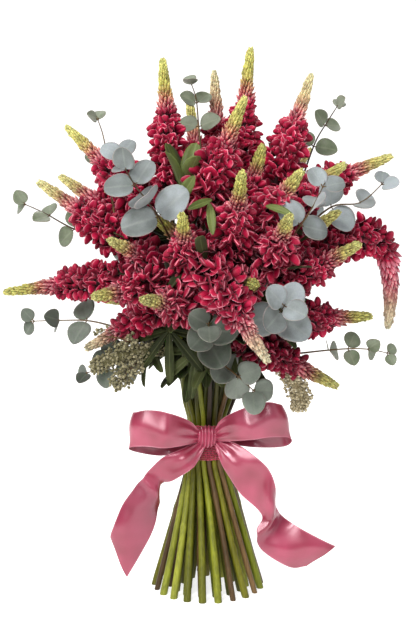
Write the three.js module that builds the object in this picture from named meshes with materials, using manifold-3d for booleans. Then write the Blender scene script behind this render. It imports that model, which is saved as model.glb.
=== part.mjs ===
// A hand-tied bouquet that stands on its own cut stems: crimson lupin spikes and sprays of round-leaved
// eucalyptus, held by a wound cord and a satin bow. Millimetres, +Z up, the surface it stands on at Z = 0.
import * as THREE from "three";
import { mergeVertices } from "three/addons/utils/BufferGeometryUtils.js";
import Module from "manifold-3d";

const wasm = await Module();
wasm.setup();

// ---- driving dimensions ----------------------------------------------------------------------

const gap = 0.35; // air left between two pieces that touch

const binding = { low: 146, high: 187, inner: 24.3, wound: 1.4, ridge: 0.9, turns: 3, sides: 16 };

// Stems lie in rings where they are tied. Below the tie every ring opens out and turns by `spiral`.
const spiral = THREE.MathUtils.degToRad(24);
const stemRings = [
  { count: 22, tied: 20.8, cut: 60 },
  { count: 16, tied: 14.9, cut: 43 },
  { count: 9, tied: 9.1, cut: 27 },
  { count: 3, tied: 3.35, cut: 10 },
];
const fanCentre = 230; // height of the point that the stems seem to fan out from
const middle = [0, 0, 330]; // leaves face away from here
const front = [-0.1, -1, 0.35]; // or this way, where a twig is laid out flat towards the front

// Radius of a stem at the cut, in the tie and where it ends.
const lupinStem = { cut: 4.2, tied: 2.7, neck: 2.5, sides: 5 };
const woodyStem = { cut: 3.1, tied: 2.74, neck: 1.6, sides: 4 };
const pressed = 1.1; // radius of the flat where a lupin stem is pressed against the next one under the tie

// Above the tie a stem's curve is led this far up and out, for each unit of the way it has to go.
// Stems are then bent apart, `near` being how far apart in height two pieces of them can still touch.
const arc = { up: 0.3, out: 0.12, pieces: 3, rounds: 200, spare: 0.15, near: 60, clearOfTie: 3 };
const spikeKeepsOff = { places: [0.1, 0.3, 0.5], radius: 15 }; // what a stem keeps off another's spike
const twigShape = { foot: 1.9, taper: 0.15, sides: 3 };
const leafBlade = { thickness: 0.8, fold: 0.12, roundness: 0.88, spread: [72, 50], large: 30, sunk: 0.5 };
const swings = [0, 18, -18, 36, -36, 54, -54, 75, -75]; // degrees that a leaf may swing to stand clear
const leaflet = { thickness: 0.9, widest: 0.6, notch: 0.14, fold: 0.15 };
const stalk = { foot: 1.5, top: 1.3, drop: 8 };

// A spike from its foot (0) to its tip (1): radius of the stem it grows on, and how far florets reach.
const spike = {
  around: 6,
  rowHeight: 18,
  core: [[0, 3.6], [0.12, 7.5], [0.45, 8], [0.7, 6], [0.9, 4], [1, 1.6]],
  reach: [[0, 7], [0.1, 17], [0.4, 17], [0.54, 9], [0.7, 5], [0.85, 3], [1, 1.6]],
  rise: [[0, 2], [0.4, 3], [0.6, 8], [1, 8]],
};

const silver = 0x93a5a0;
const olive = 0x66745a;

// Each spike's foot and tip. `bend` is where the middle of a drooping one is drawn to.
const spikes = [
  { name: "lupin_01", foot: [-40, -15, 443], tip: [-48, -20, 581] },
  { name: "lupin_02", foot: [15, 41, 427], tip: [7, 58, 576] },
  { name: "lupin_03", foot: [31, -5, 448], tip: [46, 0, 595] },
  { name: "lupin_04", foot: [69, -4, 438], tip: [112, 4, 567] },
  { name: "lupin_05", foot: [-10, -52, 422], tip: [37, -80, 535] },
  { name: "lupin_06", foot: [-60, -1, 420], tip: [-155, 10, 512] },
  { name: "lupin_07", foot: [-76, -25, 379], tip: [-182, -23, 452] },
  { name: "lupin_08", foot: [-71, 47, 392], tip: [-172, 75, 460] },
  { name: "lupin_09", foot: [-79, -36, 351], tip: [-220, -18, 333] },
  { name: "lupin_10", foot: [86, 14, 433], tip: [204, 26, 481] },
  { name: "lupin_11", foot: [65, -36, 412], tip: [145, -30, 470] },
  { name: "lupin_12", foot: [48, -54, 362], tip: [136, -60, 420] },
  { name: "lupin_13", foot: [100, -22, 360], tip: [196, -20, 295], bend: [212, -22, 452] },
  { name: "lupin_14", foot: [72, -49, 305], tip: [172, -58, 311] },
  { name: "lupin_15", foot: [34, -58, 290], tip: [135, -76, 239] },
  { name: "lupin_16", foot: [-3, -123, 371], tip: [56, -186, 282] },
  { name: "lupin_17", foot: [-28, -67, 332], tip: [-129, -53, 276] },
  { name: "lupin_18", foot: [-45, -87, 346], tip: [-113, -134, 338] },
  { name: "lupin_19", foot: [-9, -88, 323], tip: [-62, -180, 340] },
  { name: "lupin_20", foot: [-34, -50, 356], tip: [-100, -88, 392] },
  { name: "lupin_22", foot: [9, -56, 366], tip: [-54, -80, 414] },
  { name: "lupin_23", foot: [-19, -90, 357], tip: [-25, -160, 419] },
  { name: "lupin_24", foot: [23, -82, 374], tip: [33, -142, 459] },
  { name: "lupin_25", foot: [32, -45, 400], tip: [57, -54, 489] },
  { name: "lupin_26", foot: [50, -69, 398], tip: [92, -115, 461] },
  { name: "lupin_27", foot: [63, -78, 365], tip: [78, -158, 418] },
  { name: "lupin_28", foot: [29, -62, 343], tip: [46, -150, 352] },
  { name: "lupin_29", foot: [75, -70, 343], tip: [152, -107, 389] },
  { name: "lupin_31", foot: [-5, 63, 412], tip: [-22, 117, 550] },
  { name: "lupin_32", foot: [-40, 71, 370], tip: [-132, 140, 444] },
  { name: "lupin_33", foot: [0, 79, 356], tip: [-4, 190, 432] },
  { name: "lupin_34", foot: [52, 72, 405], tip: [123, 130, 492] },
  { name: "lupin_35", foot: [38, 72, 345], tip: [138, 140, 340] },
  { name: "lupin_36", foot: [5, 66, 318], tip: [9, 190, 292] },
  { name: "lupin_37", foot: [-29, 72, 321], tip: [-127, 140, 309] },
];

// Eucalyptus: each spray is a woody stem with pairs of round leaves. `pairs` says where along the twig
// they stand, `leaf` how long the first and last are, `turn` how the first pair is turned round the twig
// and `step` how much further each next pair is, which is a quarter turn where it isn't given. Leaves of
// a `flat` twig face the front, and other leaves face outward.
const sprays = [
  { name: "eucalyptus_01", colour: silver, twigs: [
    { route: [[-34, -62, 381], [-50, -98, 416], [-78, -102, 455], [-88, -96, 480]],
      pairs: [0.4, 0.55, 0.72, 0.84, 0.96], leaf: [40, 22], turn: 90, flat: true }] },
  { name: "eucalyptus_02", colour: olive, twigs: [
    { route: [[-100, 25, 385], [-146, 5, 400], [-179, 2, 418], [-204, 5, 429]],
      pairs: [0.45, 0.72, 0.96], leaf: [26, 19], turn: 70, step: 60, flat: true },
    { route: [[-100, 25, 385], [-112, 44, 455], [-117, 41, 500], [-125, 40, 526]],
      pairs: [0.66, 0.96], leaf: [24, 17], turn: 80, step: 60, flat: true }] },
  { name: "eucalyptus_03", colour: olive, twigs: [
    { route: [[-4, 18, 455], [-10, 27, 510], [-13, 28, 543], [-19, 25, 562]],
      pairs: [0.55, 0.78, 0.97], leaf: [26, 18], turn: 60, step: 55, flat: true }] },
  { name: "eucalyptus_04", colour: olive, twigs: [
    { route: [[100, 28, 440], [119, 34, 494], [133, 32, 519], [145, 30, 538]],
      pairs: [0.5, 0.75, 0.97], leaf: [26, 18], turn: 60, step: 50, flat: true }] },
  { name: "eucalyptus_05", colour: silver, twigs: [
    { route: [[95, -48, 395], [130, -40, 425], [160, -50, 430], [184, -52, 451]],
      pairs: [0.42, 0.7, 0.96], leaf: [32, 20], turn: 70, step: 60, flat: true }] },
  { name: "eucalyptus_06", colour: silver, twigs: [
    { route: [[78, -98, 387], [100, -118, 420], [116, -112, 450]],
      pairs: [0.35, 0.62, 0.93], leaf: [30, 22], turn: 80, flat: true }] },
  { name: "eucalyptus_07", colour: silver, twigs: [
    { route: [[-70, -20, 285], [-124, -14, 300], [-162, -10, 301], [-195, -10, 300]],
      pairs: [0.5, 0.74, 0.97], leaf: [30, 18], turn: 70, step: 60, flat: true },
    { route: [[-70, -20, 285], [-92, -48, 264], [-131, -56, 249]],
      pairs: [0.45, 0.7, 0.95], leaf: [28, 18], turn: 60, step: 60, flat: true }] },
  { name: "eucalyptus_08", colour: silver, twigs: [
    { route: [[2, -72, 272], [0, -118, 302], [1, -146, 314]],
      pairs: [0.4, 0.66, 0.92], leaf: [38, 26], turn: 10 },
    { route: [[2, -72, 272], [30, -84, 252], [50, -88, 234]],
      pairs: [0.3, 0.6, 0.92], leaf: [30, 28], turn: 60, flat: true }] },
  { name: "eucalyptus_09", colour: silver, twigs: [
    { route: [[64, -74, 305], [72, -118, 322], [75, -144, 332]],
      pairs: [0.4, 0.66, 0.92], leaf: [38, 27], turn: 45 }] },
  { name: "eucalyptus_10", colour: olive, twigs: [
    { route: [[78, -10, 262], [140, -32, 272], [172, -38, 273], [196, -38, 268]],
      pairs: [0.45, 0.62, 0.79, 0.96], leaf: [24, 15], turn: 80, step: 60, flat: true }] },
  { name: "eucalyptus_11", colour: silver, twigs: [
    { route: [[-58, 62, 330], [-92, 112, 372], [-112, 146, 392]],
      pairs: [0.5, 0.75, 0.96], leaf: [34, 22], turn: 25 },
    { route: [[-58, 62, 330], [-50, 132, 330], [-56, 172, 340]],
      pairs: [0.6, 0.95], leaf: [34, 26], turn: 60 }] },
  { name: "eucalyptus_12", colour: silver, twigs: [
    { route: [[60, 62, 330], [100, 108, 392], [122, 140, 416]],
      pairs: [0.5, 0.75, 0.96], leaf: [34, 22], turn: 55 },
    { route: [[60, 62, 330], [58, 132, 322], [64, 170, 318]],
      pairs: [0.6, 0.95], leaf: [34, 26], turn: 20 }] },
];

// Seed heads: twigs thick with small buds from `from` on. The first twig carries on from the stem, and
// the others branch off it.
const seedHeads = [
  { name: "seed_head_left", colour: 0x8c8a5c, from: 0.2,
    routes: [
      [[-30, -42, 270], [-64, -64, 276], [-98, -70, 268], [-122, -70, 256]],
      [[-64, -64, 276], [-92, -78, 290], [-116, -80, 292]],
      [[-64, -64, 276], [-82, -76, 256], [-98, -80, 240]],
    ],
    shape: {
      around: 5,
      rowHeight: 13,
      core: [[0, 1.8], [0.5, 4.5], [1, 2]],
      reach: [[0, 4], [0.3, 9], [0.75, 9], [1, 5]],
      rise: [[0, 1], [1, 4]],
    } },
  { name: "seed_head_right", colour: 0xb8b08c, from: 0.4,
    routes: [
      [[40, -36, 248], [76, -62, 256], [94, -62, 236], [98, -58, 212]],
    ],
    shape: {
      around: 6,
      rowHeight: 8,
      core: [[0, 1.8], [0.4, 6], [0.8, 6.5], [1, 3]],
      reach: [[0, 3], [0.3, 7], [0.8, 8], [1, 3]],
      rise: [[0, 2], [1, 3]],
    } },
];

// Lupin leaves: leaflets that spread like fingers from the top of a stalk that grows on the stem `on`.
// `cone` is how far they spread from `axis`. The longest hang down, and one that would rise is shorter,
// down to the share `shortest`.
const collarLeaf = { leaflets: 8, length: 50, width: 10, cone: 97, shortest: 0.35 };
const palmateLeaves = [
  { ...collarLeaf, on: "lupin_05", hub: [-26, -42, 436], axis: [0.1, -0.3, 0.95], leaflets: 5, length: 64,
    width: 17, cone: 20, shortest: 0.8 },
  { ...collarLeaf, on: "lupin_17", hub: [-40, -74, 298], axis: [-0.2, -0.9, 0.4], leaflets: 9,
    length: 58 },
  { ...collarLeaf, on: "lupin_09", hub: [-62, -38, 280], axis: [-0.8, -0.4, 0.5] },
  { ...collarLeaf, on: "lupin_19", hub: [-12, -74, 276], axis: [0, -0.86, 0.5] },
  { ...collarLeaf, on: "lupin_14", hub: [70, -16, 286], axis: [0.86, -0.1, 0.5] },
  { ...collarLeaf, on: "lupin_35", hub: [58, 46, 286], axis: [0.65, 0.55, 0.5] },
  { ...collarLeaf, on: "lupin_36", hub: [4, 74, 280], axis: [0, 0.86, 0.5] },
  { ...collarLeaf, on: "lupin_37", hub: [-56, 48, 286], axis: [-0.65, 0.55, 0.5] },
];

// The bow's bands, each station given by the two edges of the ribbon.
const ribbonThickness = 0.9;
const bands = [
  { name: "bow_loop_left", stations: [
    [[-9, -37, 183], [-10, -37, 172]], [[-21, -46, 197], [-19, -46, 171]],
    [[-46, -56, 208], [-43, -56, 169]], [[-67, -58, 210], [-66, -58, 171]],
    [[-80, -50, 206], [-85, -50, 168]], [[-76, -36, 204], [-79, -35, 160]],
    [[-47, -30, 201], [-49, -29, 154]], [[-22, -31, 192], [-22, -31, 163]],
    [[-9, -33, 183], [-10, -33, 172]]] },
  { name: "bow_loop_right", stations: [
    [[7, -37, 184], [8, -37, 173]], [[17, -46, 200], [19, -46, 174]],
    [[45, -56, 215], [45, -56, 178]], [[66, -58, 219], [68, -58, 181]],
    [[79, -50, 214], [89, -50, 178]], [[71, -36, 213], [84, -35, 166]],
    [[46, -30, 207], [55, -29, 163]], [[20, -31, 194], [24, -31, 168]],
    [[7, -33, 184], [8, -33, 173]]] },
  { name: "bow_tail_left", stations: [
    [[-8, -36, 172], [-2, -36, 168]], [[-30, -46, 165], [-12, -44, 150]],
    [[-50, -52, 157], [-20, -50, 143]], [[-66, -56, 141], [-38, -50, 132]],
    [[-80, -60, 124], [-51, -43, 126]], [[-92, -60, 107], [-53, -48, 104]],
    [[-103, -60, 80], [-60, -58, 77]], [[-105, -58, 72], [-87, -62, 29]]] },
  { name: "bow_tail_right", stations: [
    [[6, -36, 170], [10, -36, 175]], [[11, -42, 158], [30, -48, 172]],
    [[16, -46, 146], [47, -54, 162]], [[25, -48, 132], [64, -58, 148]],
    [[36, -50, 117], [72, -60, 128]], [[58, -60, 96], [74, -50, 102]],
    [[52, -66, 80], [82, -46, 91]], [[58, -66, 60], [94, -55, 84]],
    [[87, -60, 40], [113, -58, 74]], [[106, -58, 40], [137, -58, 62]]] },
];
const knot = { centre: [-1, -35.5, 177], half: [12, 9, 12.5] };

// ---- shapes ----------------------------------------------------------------------------------

const vec = (p) => new THREE.Vector3(...p);

// Reads a value off a list of [place, value] pairs.
function along(profile, place) {
  for (let i = 1; i < profile.length; i++) {
    const [a, from] = profile[i - 1];
    const [b, to] = profile[i];
    if (place <= b) return from + ((to - from) * (place - a)) / (b - a);
  }
  return profile.at(-1)[1];
}

// Turns a closed geometry into a solid that can be joined and cut.
function solid(geometry) {
  geometry.deleteAttribute("normal");
  geometry.deleteAttribute("uv");
  const merged = mergeVertices(geometry, 1e-4);
  return new wasm.Manifold(
    new wasm.Mesh({
      numProp: 3,
      vertProperties: merged.attributes.position.array,
      triVerts: new Uint32Array(merged.index.array),
    }),
  );
}

function solidOf(points, triangles) {
  const geometry = new THREE.BufferGeometry();
  const coordinates = points.flatMap((point) => point.toArray());
  geometry.setAttribute("position", new THREE.Float32BufferAttribute(coordinates, 3));
  geometry.setIndex(triangles.flat());
  return solid(geometry);
}

// Two directions square to each point's tangent, carried along a path without twisting.
function framesAlong(path) {
  const frames = [];
  let side = new THREE.Vector3(1, 0, 0);
  path.forEach((point, i) => {
    const before = path[Math.max(i - 1, 0)];
    const after = path[Math.min(i + 1, path.length - 1)];
    const tangent = after.clone().sub(before).normalize();
    if (i === 0 && Math.abs(tangent.x) > 0.9) side = new THREE.Vector3(0, 1, 0);
    side = side.clone().addScaledVector(tangent, -side.dot(tangent)).normalize();
    frames.push({ point, tangent, side, other: tangent.clone().cross(side) });
  });
  return frames;
}

const aroundFrame = ({ point, side, other }, angle, radius) =>
  point.clone().addScaledVector(side, radius * Math.cos(angle))
    .addScaledVector(other, radius * Math.sin(angle));

// A tube with flat ends and a radius for each point of its path. A standing one is cut level at Z = 0.
function tube(path, radii, sides, standing = false) {
  const points = [];
  const triangles = [];
  framesAlong(path).forEach((frame, row) => {
    for (let i = 0; i < sides; i++) {
      const point = aroundFrame(frame, (i * 2 * Math.PI) / sides, radii[row]);
      if (standing && row === 0) point.addScaledVector(frame.tangent, -point.z / frame.tangent.z).setZ(0);
      points.push(point);
    }
  });
  for (let row = 0; row + 1 < path.length; row++) {
    for (let i = 0; i < sides; i++) {
      const a = row * sides + i;
      const b = row * sides + ((i + 1) % sides);
      triangles.push([a, b, b + sides], [a, b + sides, a + sides]);
    }
  }
  const last = (path.length - 1) * sides;
  for (let i = 1; i + 1 < sides; i++) {
    triangles.push([0, i + 1, i], [last, last + i, last + i + 1]);
  }
  return solidOf(points, triangles);
}

// A leaf blade, cupped towards `normal`: its edges rise from its root and tip.
function blade({ root, direction, normal, length, width, corners, grow }) {
  const { thickness, fold } = leafBlade;
  const run = direction.clone().normalize();
  const across = normal.clone().cross(run).normalize();
  const face = run.clone().cross(across).normalize();
  const whole = length + 2 * grow;
  const outline = [root.clone().addScaledVector(run, -grow)];
  const edgePoint = (step, sign) => {
    const turn = (Math.PI * step) / (corners + 1);
    const out = sign * Math.sin(turn) * (width / 2 + grow);
    return outline[0].clone().addScaledVector(run, (whole * (1 - Math.cos(turn))) / 2)
      .addScaledVector(across, out).addScaledVector(face, Math.abs(out) * fold);
  };
  for (let step = 1; step <= corners; step++) outline.push(edgePoint(step, 1));
  outline.push(outline[0].clone().addScaledVector(run, whole));
  for (let step = corners; step >= 1; step--) outline.push(edgePoint(step, -1));
  const count = outline.length;
  const half = thickness / 2 + grow;
  const points = [
    ...outline.map((p) => p.clone().addScaledVector(face, half)),
    ...outline.map((p) => p.clone().addScaledVector(face, -half)),
  ];
  const triangles = [];
  for (let step = 1; step < count / 2; step++) {
    const [a, b] = [step, count - step]; // the two edge points at this place, and the next two or the tip
    const faces = step === 1 ? [[0, a, b]] : [];
    if (step + 1 === count / 2) faces.push([a, a + 1, b]);
    else faces.push([a, a + 1, b], [a + 1, b - 1, b]);
    for (const [p, q, r] of faces) triangles.push([p, r, q], [count + p, count + q, count + r]);
  }
  for (let i = 0; i < count; i++) {
    const j = (i + 1) % count;
    triangles.push([i, j, count + j], [i, count + j, count + i]);
  }
  const made = solidOf(points, triangles);
  return made.volume() < 0 ? solidOf(points, triangles.map(([a, b, c]) => [a, c, b])) : made;
}

// A strip of ribbon through stations that each give its two edges.
function band(stations, thickness) {
  const middle = stations.map(([a, b]) => vec(a).add(vec(b)).multiplyScalar(0.5));
  const points = [];
  const triangles = [];
  stations.forEach(([a, b], i) => {
    const run = middle[Math.min(i + 1, middle.length - 1)].clone().sub(middle[Math.max(i - 1, 0)]);
    const face = run.cross(vec(b).sub(vec(a))).setLength(thickness / 2);
    points.push(vec(a).add(face), vec(b).add(face), vec(b).sub(face), vec(a).sub(face));
  });
  for (let row = 0; row + 1 < stations.length; row++) {
    for (let i = 0; i < 4; i++) {
      const a = row * 4 + i;
      const b = row * 4 + ((i + 1) % 4);
      triangles.push([a, b, b + 4], [a, b + 4, a + 4]);
    }
  }
  const last = (stations.length - 1) * 4;
  triangles.push([0, 2, 1], [0, 3, 2], [last, last + 1, last + 2], [last, last + 2, last + 3]);
  const made = solidOf(points, triangles);
  return made.volume() < 0 ? solidOf(points, triangles.map(([a, b, c]) => [a, c, b])) : made;
}

const joined = (solids) => solids.reduce((whole, next) => whole.add(next));
const largest = (whole) => whole.decompose().reduce((a, b) => (a.volume() >= b.volume() ? a : b));

// ---- a lupin spike ---------------------------------------------------------------------------

function spikeAxis({ foot, tip, bend }) {
  const middle = bend ? vec(bend) : vec(foot).add(vec(tip)).multiplyScalar(0.5);
  return new THREE.QuadraticBezierCurve3(vec(foot), middle, vec(tip));
}

// The spike's skin is cut into staggered diamonds, and a floret stands out of each one.
function spikeSolid(axis, shape) {
  const rows = Math.max(5, Math.round(axis.getLength() / shape.rowHeight));
  const sides = shape.around;
  const path = Array.from({ length: rows + 1 }, (_, row) => axis.getPointAt(row / rows));
  const frames = framesAlong(path);
  const angleOf = (row, i) => ((i + (row % 2) / 2) * 2 * Math.PI) / sides;
  const index = (row, i) => row * sides + ((i + sides) % sides);
  const points = [];
  const triangles = [];
  frames.forEach((frame, row) => {
    const radius = along(shape.core, row / rows);
    for (let i = 0; i < sides; i++) points.push(aroundFrame(frame, angleOf(row, i), radius));
  });
  for (let row = 1; row < rows; row++) {
    const place = row / rows;
    const radius = along(shape.core, place) * Math.cos(Math.PI / sides) + along(shape.reach, place);
    for (let i = 0; i < sides; i++) {
      const floret = aroundFrame(frames[row], angleOf(row, i + 0.5), radius)
        .addScaledVector(frames[row].tangent, along(shape.rise, place));
      const peak = points.push(floret) - 1;
      const beside = row % 2 ? i + 1 : i; // which vertex of the next rows lies between these two
      const [left, right] = [index(row, i), index(row, i + 1)];
      const [below, above] = [index(row - 1, beside), index(row + 1, beside)];
      triangles.push([left, peak, above], [peak, right, above], [left, below, peak], [below, right, peak]);
    }
  }
  const first = points.push(path[0].clone()) - 1;
  const last = points.push(path[rows].clone().addScaledVector(frames[rows].tangent, 3)) - 1;
  for (let i = 0; i < sides; i++) {
    const [low, lowNext] = [index(0, i), index(0, i + 1)];
    const [high, highNext] = [index(rows, i), index(rows, i + 1)];
    triangles.push([first, lowNext, low], [low, lowNext, index(1, i)]);
    const under = rows % 2 ? index(rows - 1, i + 1) : index(rows - 1, i);
    triangles.push([last, high, highNext], [high, under, highNext]);
  }
  return solidOf(points, triangles);
}

// A plain hull round the spike that no neighbour may enter.
function spikeRoom(lupin) {
  const axis = spikeAxis(lupin);
  const places = [0, 0.08, 0.3, 0.5, 0.62, 0.8, 1];
  const path = places.map((place) => axis.getPointAt(place));
  const ends = framesAlong(path);
  path[0].addScaledVector(ends[0].tangent, -1.5);
  path.at(-1).addScaledVector(ends.at(-1).tangent, 5);
  const reachAt = (place) => along(spike.core, place) + (along(spike.reach, place) + gap) * 1.05;
  const radii = places.map((place) => Math.max(reachAt(place), reachAt(Math.max(place - 0.08, 0))));
  return tube(path, radii, 8);
}

// ---- stems -----------------------------------------------------------------------------------

const woody = [
  ...sprays.map(({ name, twigs }) => ({ name, route: twigs[0].route })),
  ...seedHeads.map(({ name, routes }) => ({ name, route: routes[0] })),
];
const sticks = [
  ...spikes.map((lupin) => {
    const axis = spikeAxis(lupin);
    const heading = axis.getTangentAt(0);
    const end = axis.getPointAt(0).addScaledVector(heading, -gap);
    return { name: lupin.name, shape: lupinStem, heading, end };
  }),
  ...woody.map(({ name, route }) => ({
    name,
    shape: woodyStem,
    heading: new THREE.CatmullRomCurve3(route.map(vec)).getTangentAt(0),
    end: vec(route[0]),
  })),
];
sticks.forEach((stick) => {
  const out = Math.hypot(stick.end.x, stick.end.y);
  stick.lean = Math.atan2(out, stick.end.z - fanCentre);
  stick.bearing = Math.atan2(stick.end.y, stick.end.x);
});

// The stems that lean most take the outer ring, and each ring is filled in the order of their bearings.
function placeInRings() {
  const turn = 2 * Math.PI;
  const byLean = [...sticks].sort((a, b) => b.lean - a.lean);
  let taken = 0;
  for (const ring of stemRings) {
    const members = byLean.slice(taken, taken + ring.count).sort((a, b) => a.bearing - b.bearing);
    taken += ring.count;
    let x = 0;
    let y = 0;
    members.forEach((stick, i) => {
      x += Math.cos(stick.bearing - (i * turn) / ring.count);
      y += Math.sin(stick.bearing - (i * turn) / ring.count);
    });
    const start = Math.atan2(y, x);
    members.forEach((stick, i) => {
      stick.ring = ring;
      stick.angle = start + (i * turn) / ring.count;
    });
  }
}

const onRing = (angle, radius, z) =>
  new THREE.Vector3(radius * Math.cos(angle), radius * Math.sin(angle), z);

// Above the tie a stem runs up, then swings over towards what it carries.
function riseOf({ angle, ring, end, heading }) {
  const start = onRing(angle, ring.tied, binding.high + arc.clearOfTie);
  const reach = start.distanceTo(end);
  const lift = onRing(angle, ring.tied + reach * arc.out, start.z + reach * arc.up);
  const arrive = end.clone().addScaledVector(heading, -reach * arc.up);
  return new THREE.CubicBezierCurve3(start, lift, arrive, end).getSpacedPoints(arc.pieces);
}

// Nearest points of two straight pieces, as shares of their lengths.
function nearest(a, b, c, d) {
  const [ab, cd, ca] = [b.clone().sub(a), d.clone().sub(c), a.clone().sub(c)];
  const [e, f, g] = [ab.lengthSq(), ab.dot(cd), cd.lengthSq()];
  const [p, q] = [ab.dot(ca), cd.dot(ca)];
  const clamp = (x) => Math.min(1, Math.max(0, x));
  let s = clamp((f * q - g * p) / Math.max(e * g - f * f, 1e-9));
  const t = clamp((f * s + q) / g);
  s = clamp((f * t - p) / e);
  return [s, t];
}

// Bends stems apart wherever two of them, or a stem and another lupin's spike, would touch.
function bendClear(rounds) {
  const rooms = spikes.map((lupin) => {
    const axis = spikeAxis(lupin);
    return { name: lupin.name, centres: spikeKeepsOff.places.map((place) => axis.getPointAt(place)) };
  });
  for (let round = 0; round < rounds; round++) {
    for (let i = 0; i < sticks.length; i++) {
      for (let j = i + 1; j < sticks.length; j++) {
        const [one, two] = [sticks[i], sticks[j]];
        const room = one.shape.tied + two.shape.tied + gap + arc.spare;
        for (let k = 0; k + 1 < one.rise.length; k++) {
          for (let m = 0; m + 1 < two.rise.length; m++) {
            if (Math.abs(one.rise[k].z - two.rise[m].z) > arc.near) continue;
            const [a, b, c, d] = [one.rise[k], one.rise[k + 1], two.rise[m], two.rise[m + 1]];
            const [s, t] = nearest(a, b, c, d);
            const away = a.clone().lerp(b, s).sub(c.clone().lerp(d, t));
            const short = room - away.length();
            if (short <= 0) continue;
            away.setLength(short / 2);
            pushed(one.rise, k, s, away);
            pushed(two.rise, m, t, away.negate());
          }
        }
      }
      for (const { name, centres } of rooms) {
        if (name === sticks[i].name) continue;
        for (const centre of centres) {
          sticks[i].rise.forEach((point, k) => {
            const away = point.clone().sub(centre);
            const short = spikeKeepsOff.radius - away.length();
            if (short > 0) pushed(sticks[i].rise, k, 0, away.setLength(short / 2));
          });
        }
      }
    }
  }
}

// Moves the piece between points k and k + 1, but never a path's two ends.
function pushed(path, k, share, by) {
  if (k > 0 && k < path.length - 1) path[k].addScaledVector(by, 1 - share);
  if (k + 1 < path.length - 1) path[k + 1].addScaledVector(by, share);
}

placeInRings();
sticks.forEach((stick) => {
  stick.rise = riseOf(stick);
});
bendClear(arc.rounds);

// From the surface, through the tie, to the end of the stem.
function stickPath({ angle, ring, rise }) {
  const cut = onRing(angle + spiral, ring.cut, 0);
  const low = onRing(angle, ring.tied, binding.low - arc.clearOfTie);
  return [cut, low, ...rise];
}

function stickTube(stick, grow = 0) {
  const path = stickPath(stick);
  const { cut, tied, neck, sides } = stick.shape;
  const radii = path.map((_, i) => {
    if (i === 0) return cut;
    return tied + ((neck - tied) * Math.max(i - 2, 0)) / (path.length - 3);
  });
  if (grow) {
    const [before, last] = path.slice(-2);
    path.push(last.clone().add(last.clone().sub(before).setLength(grow)));
    radii.push(neck);
  }
  return tube(path, radii.map((r) => r + grow), sides, true);
}

sticks.forEach((stick) => {
  stick.solid = stickTube(stick);
  stick.room = stickTube(stick, gap);
});
const stickNamed = (name) => sticks.find((stick) => stick.name === name);

// ---- what is fused into one node -------------------------------------------------------------

// Lupin stems are pressed flat against their neighbours under the tie. A group takes in the nearest
// stem for as long as one can be reached with no other stem in between.
const tiedPoint = ({ angle, ring }) => onRing(angle, ring.tied, (binding.low + binding.high) / 2);

function pressedGroups(members) {
  const isFree = (one, two) => sticks.every((stick) => {
    if (stick === one || stick === two) return true;
    const point = tiedPoint(stick);
    const between = new THREE.Line3(tiedPoint(one), tiedPoint(two));
    const near = between.closestPointToPoint(point, true, new THREE.Vector3());
    return near.distanceTo(point) > stick.shape.tied + pressed + gap;
  });
  const apart = ([one, two]) => tiedPoint(one).distanceTo(tiedPoint(two));
  const groups = [];
  const rest = [...members];
  while (rest.length) {
    const group = { stems: [rest.shift()], links: [] };
    for (;;) {
      const pairs = group.stems.flatMap((one) => rest.map((two) => [one, two]))
        .filter((pair) => isFree(...pair));
      if (!pairs.length) break;
      const [one, two] = pairs.reduce((a, b) => (apart(a) <= apart(b) ? a : b));
      group.links.push(tube([tiedPoint(one), tiedPoint(two)], [pressed, pressed], 3));
      group.stems.push(two);
      rest.splice(rest.indexOf(two), 1);
    }
    groups.push(group);
  }
  return groups;
}

// One leaf of a spray. `sign` says which of the pair it is, and `swing` turns it on round the twig.
function leafOnTwig(curve, { pairs, leaf, turn, step = 90, flat }, k, sign, swing, grow) {
  const tangent = curve.getTangentAt(pairs[k]);
  const side = new THREE.Vector3(1, 0.2, 0.1).cross(tangent).normalize()
    .applyAxisAngle(tangent, THREE.MathUtils.degToRad(turn + step * k + swing));
  const share = k / (pairs.length - 1);
  const length = THREE.MathUtils.lerp(...leaf, share);
  const spread = THREE.MathUtils.degToRad(THREE.MathUtils.lerp(...leafBlade.spread, share));
  const direction = tangent.clone().multiplyScalar(Math.cos(spread))
    .addScaledVector(side, sign * Math.sin(spread));
  const root = curve.getPointAt(pairs[k]).addScaledVector(direction, leafBlade.sunk);
  const outward = flat ? vec(front) : root.clone().sub(vec(middle));
  const normal = tangent.clone().multiplyScalar(flat ? 0.3 : 1).add(outward.normalize());
  normal.addScaledVector(direction, -normal.dot(direction)).normalize();
  const corners = length > leafBlade.large ? 3 : 2;
  return blade({ root, direction, normal, length, width: length * leafBlade.roundness, corners, grow });
}

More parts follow.
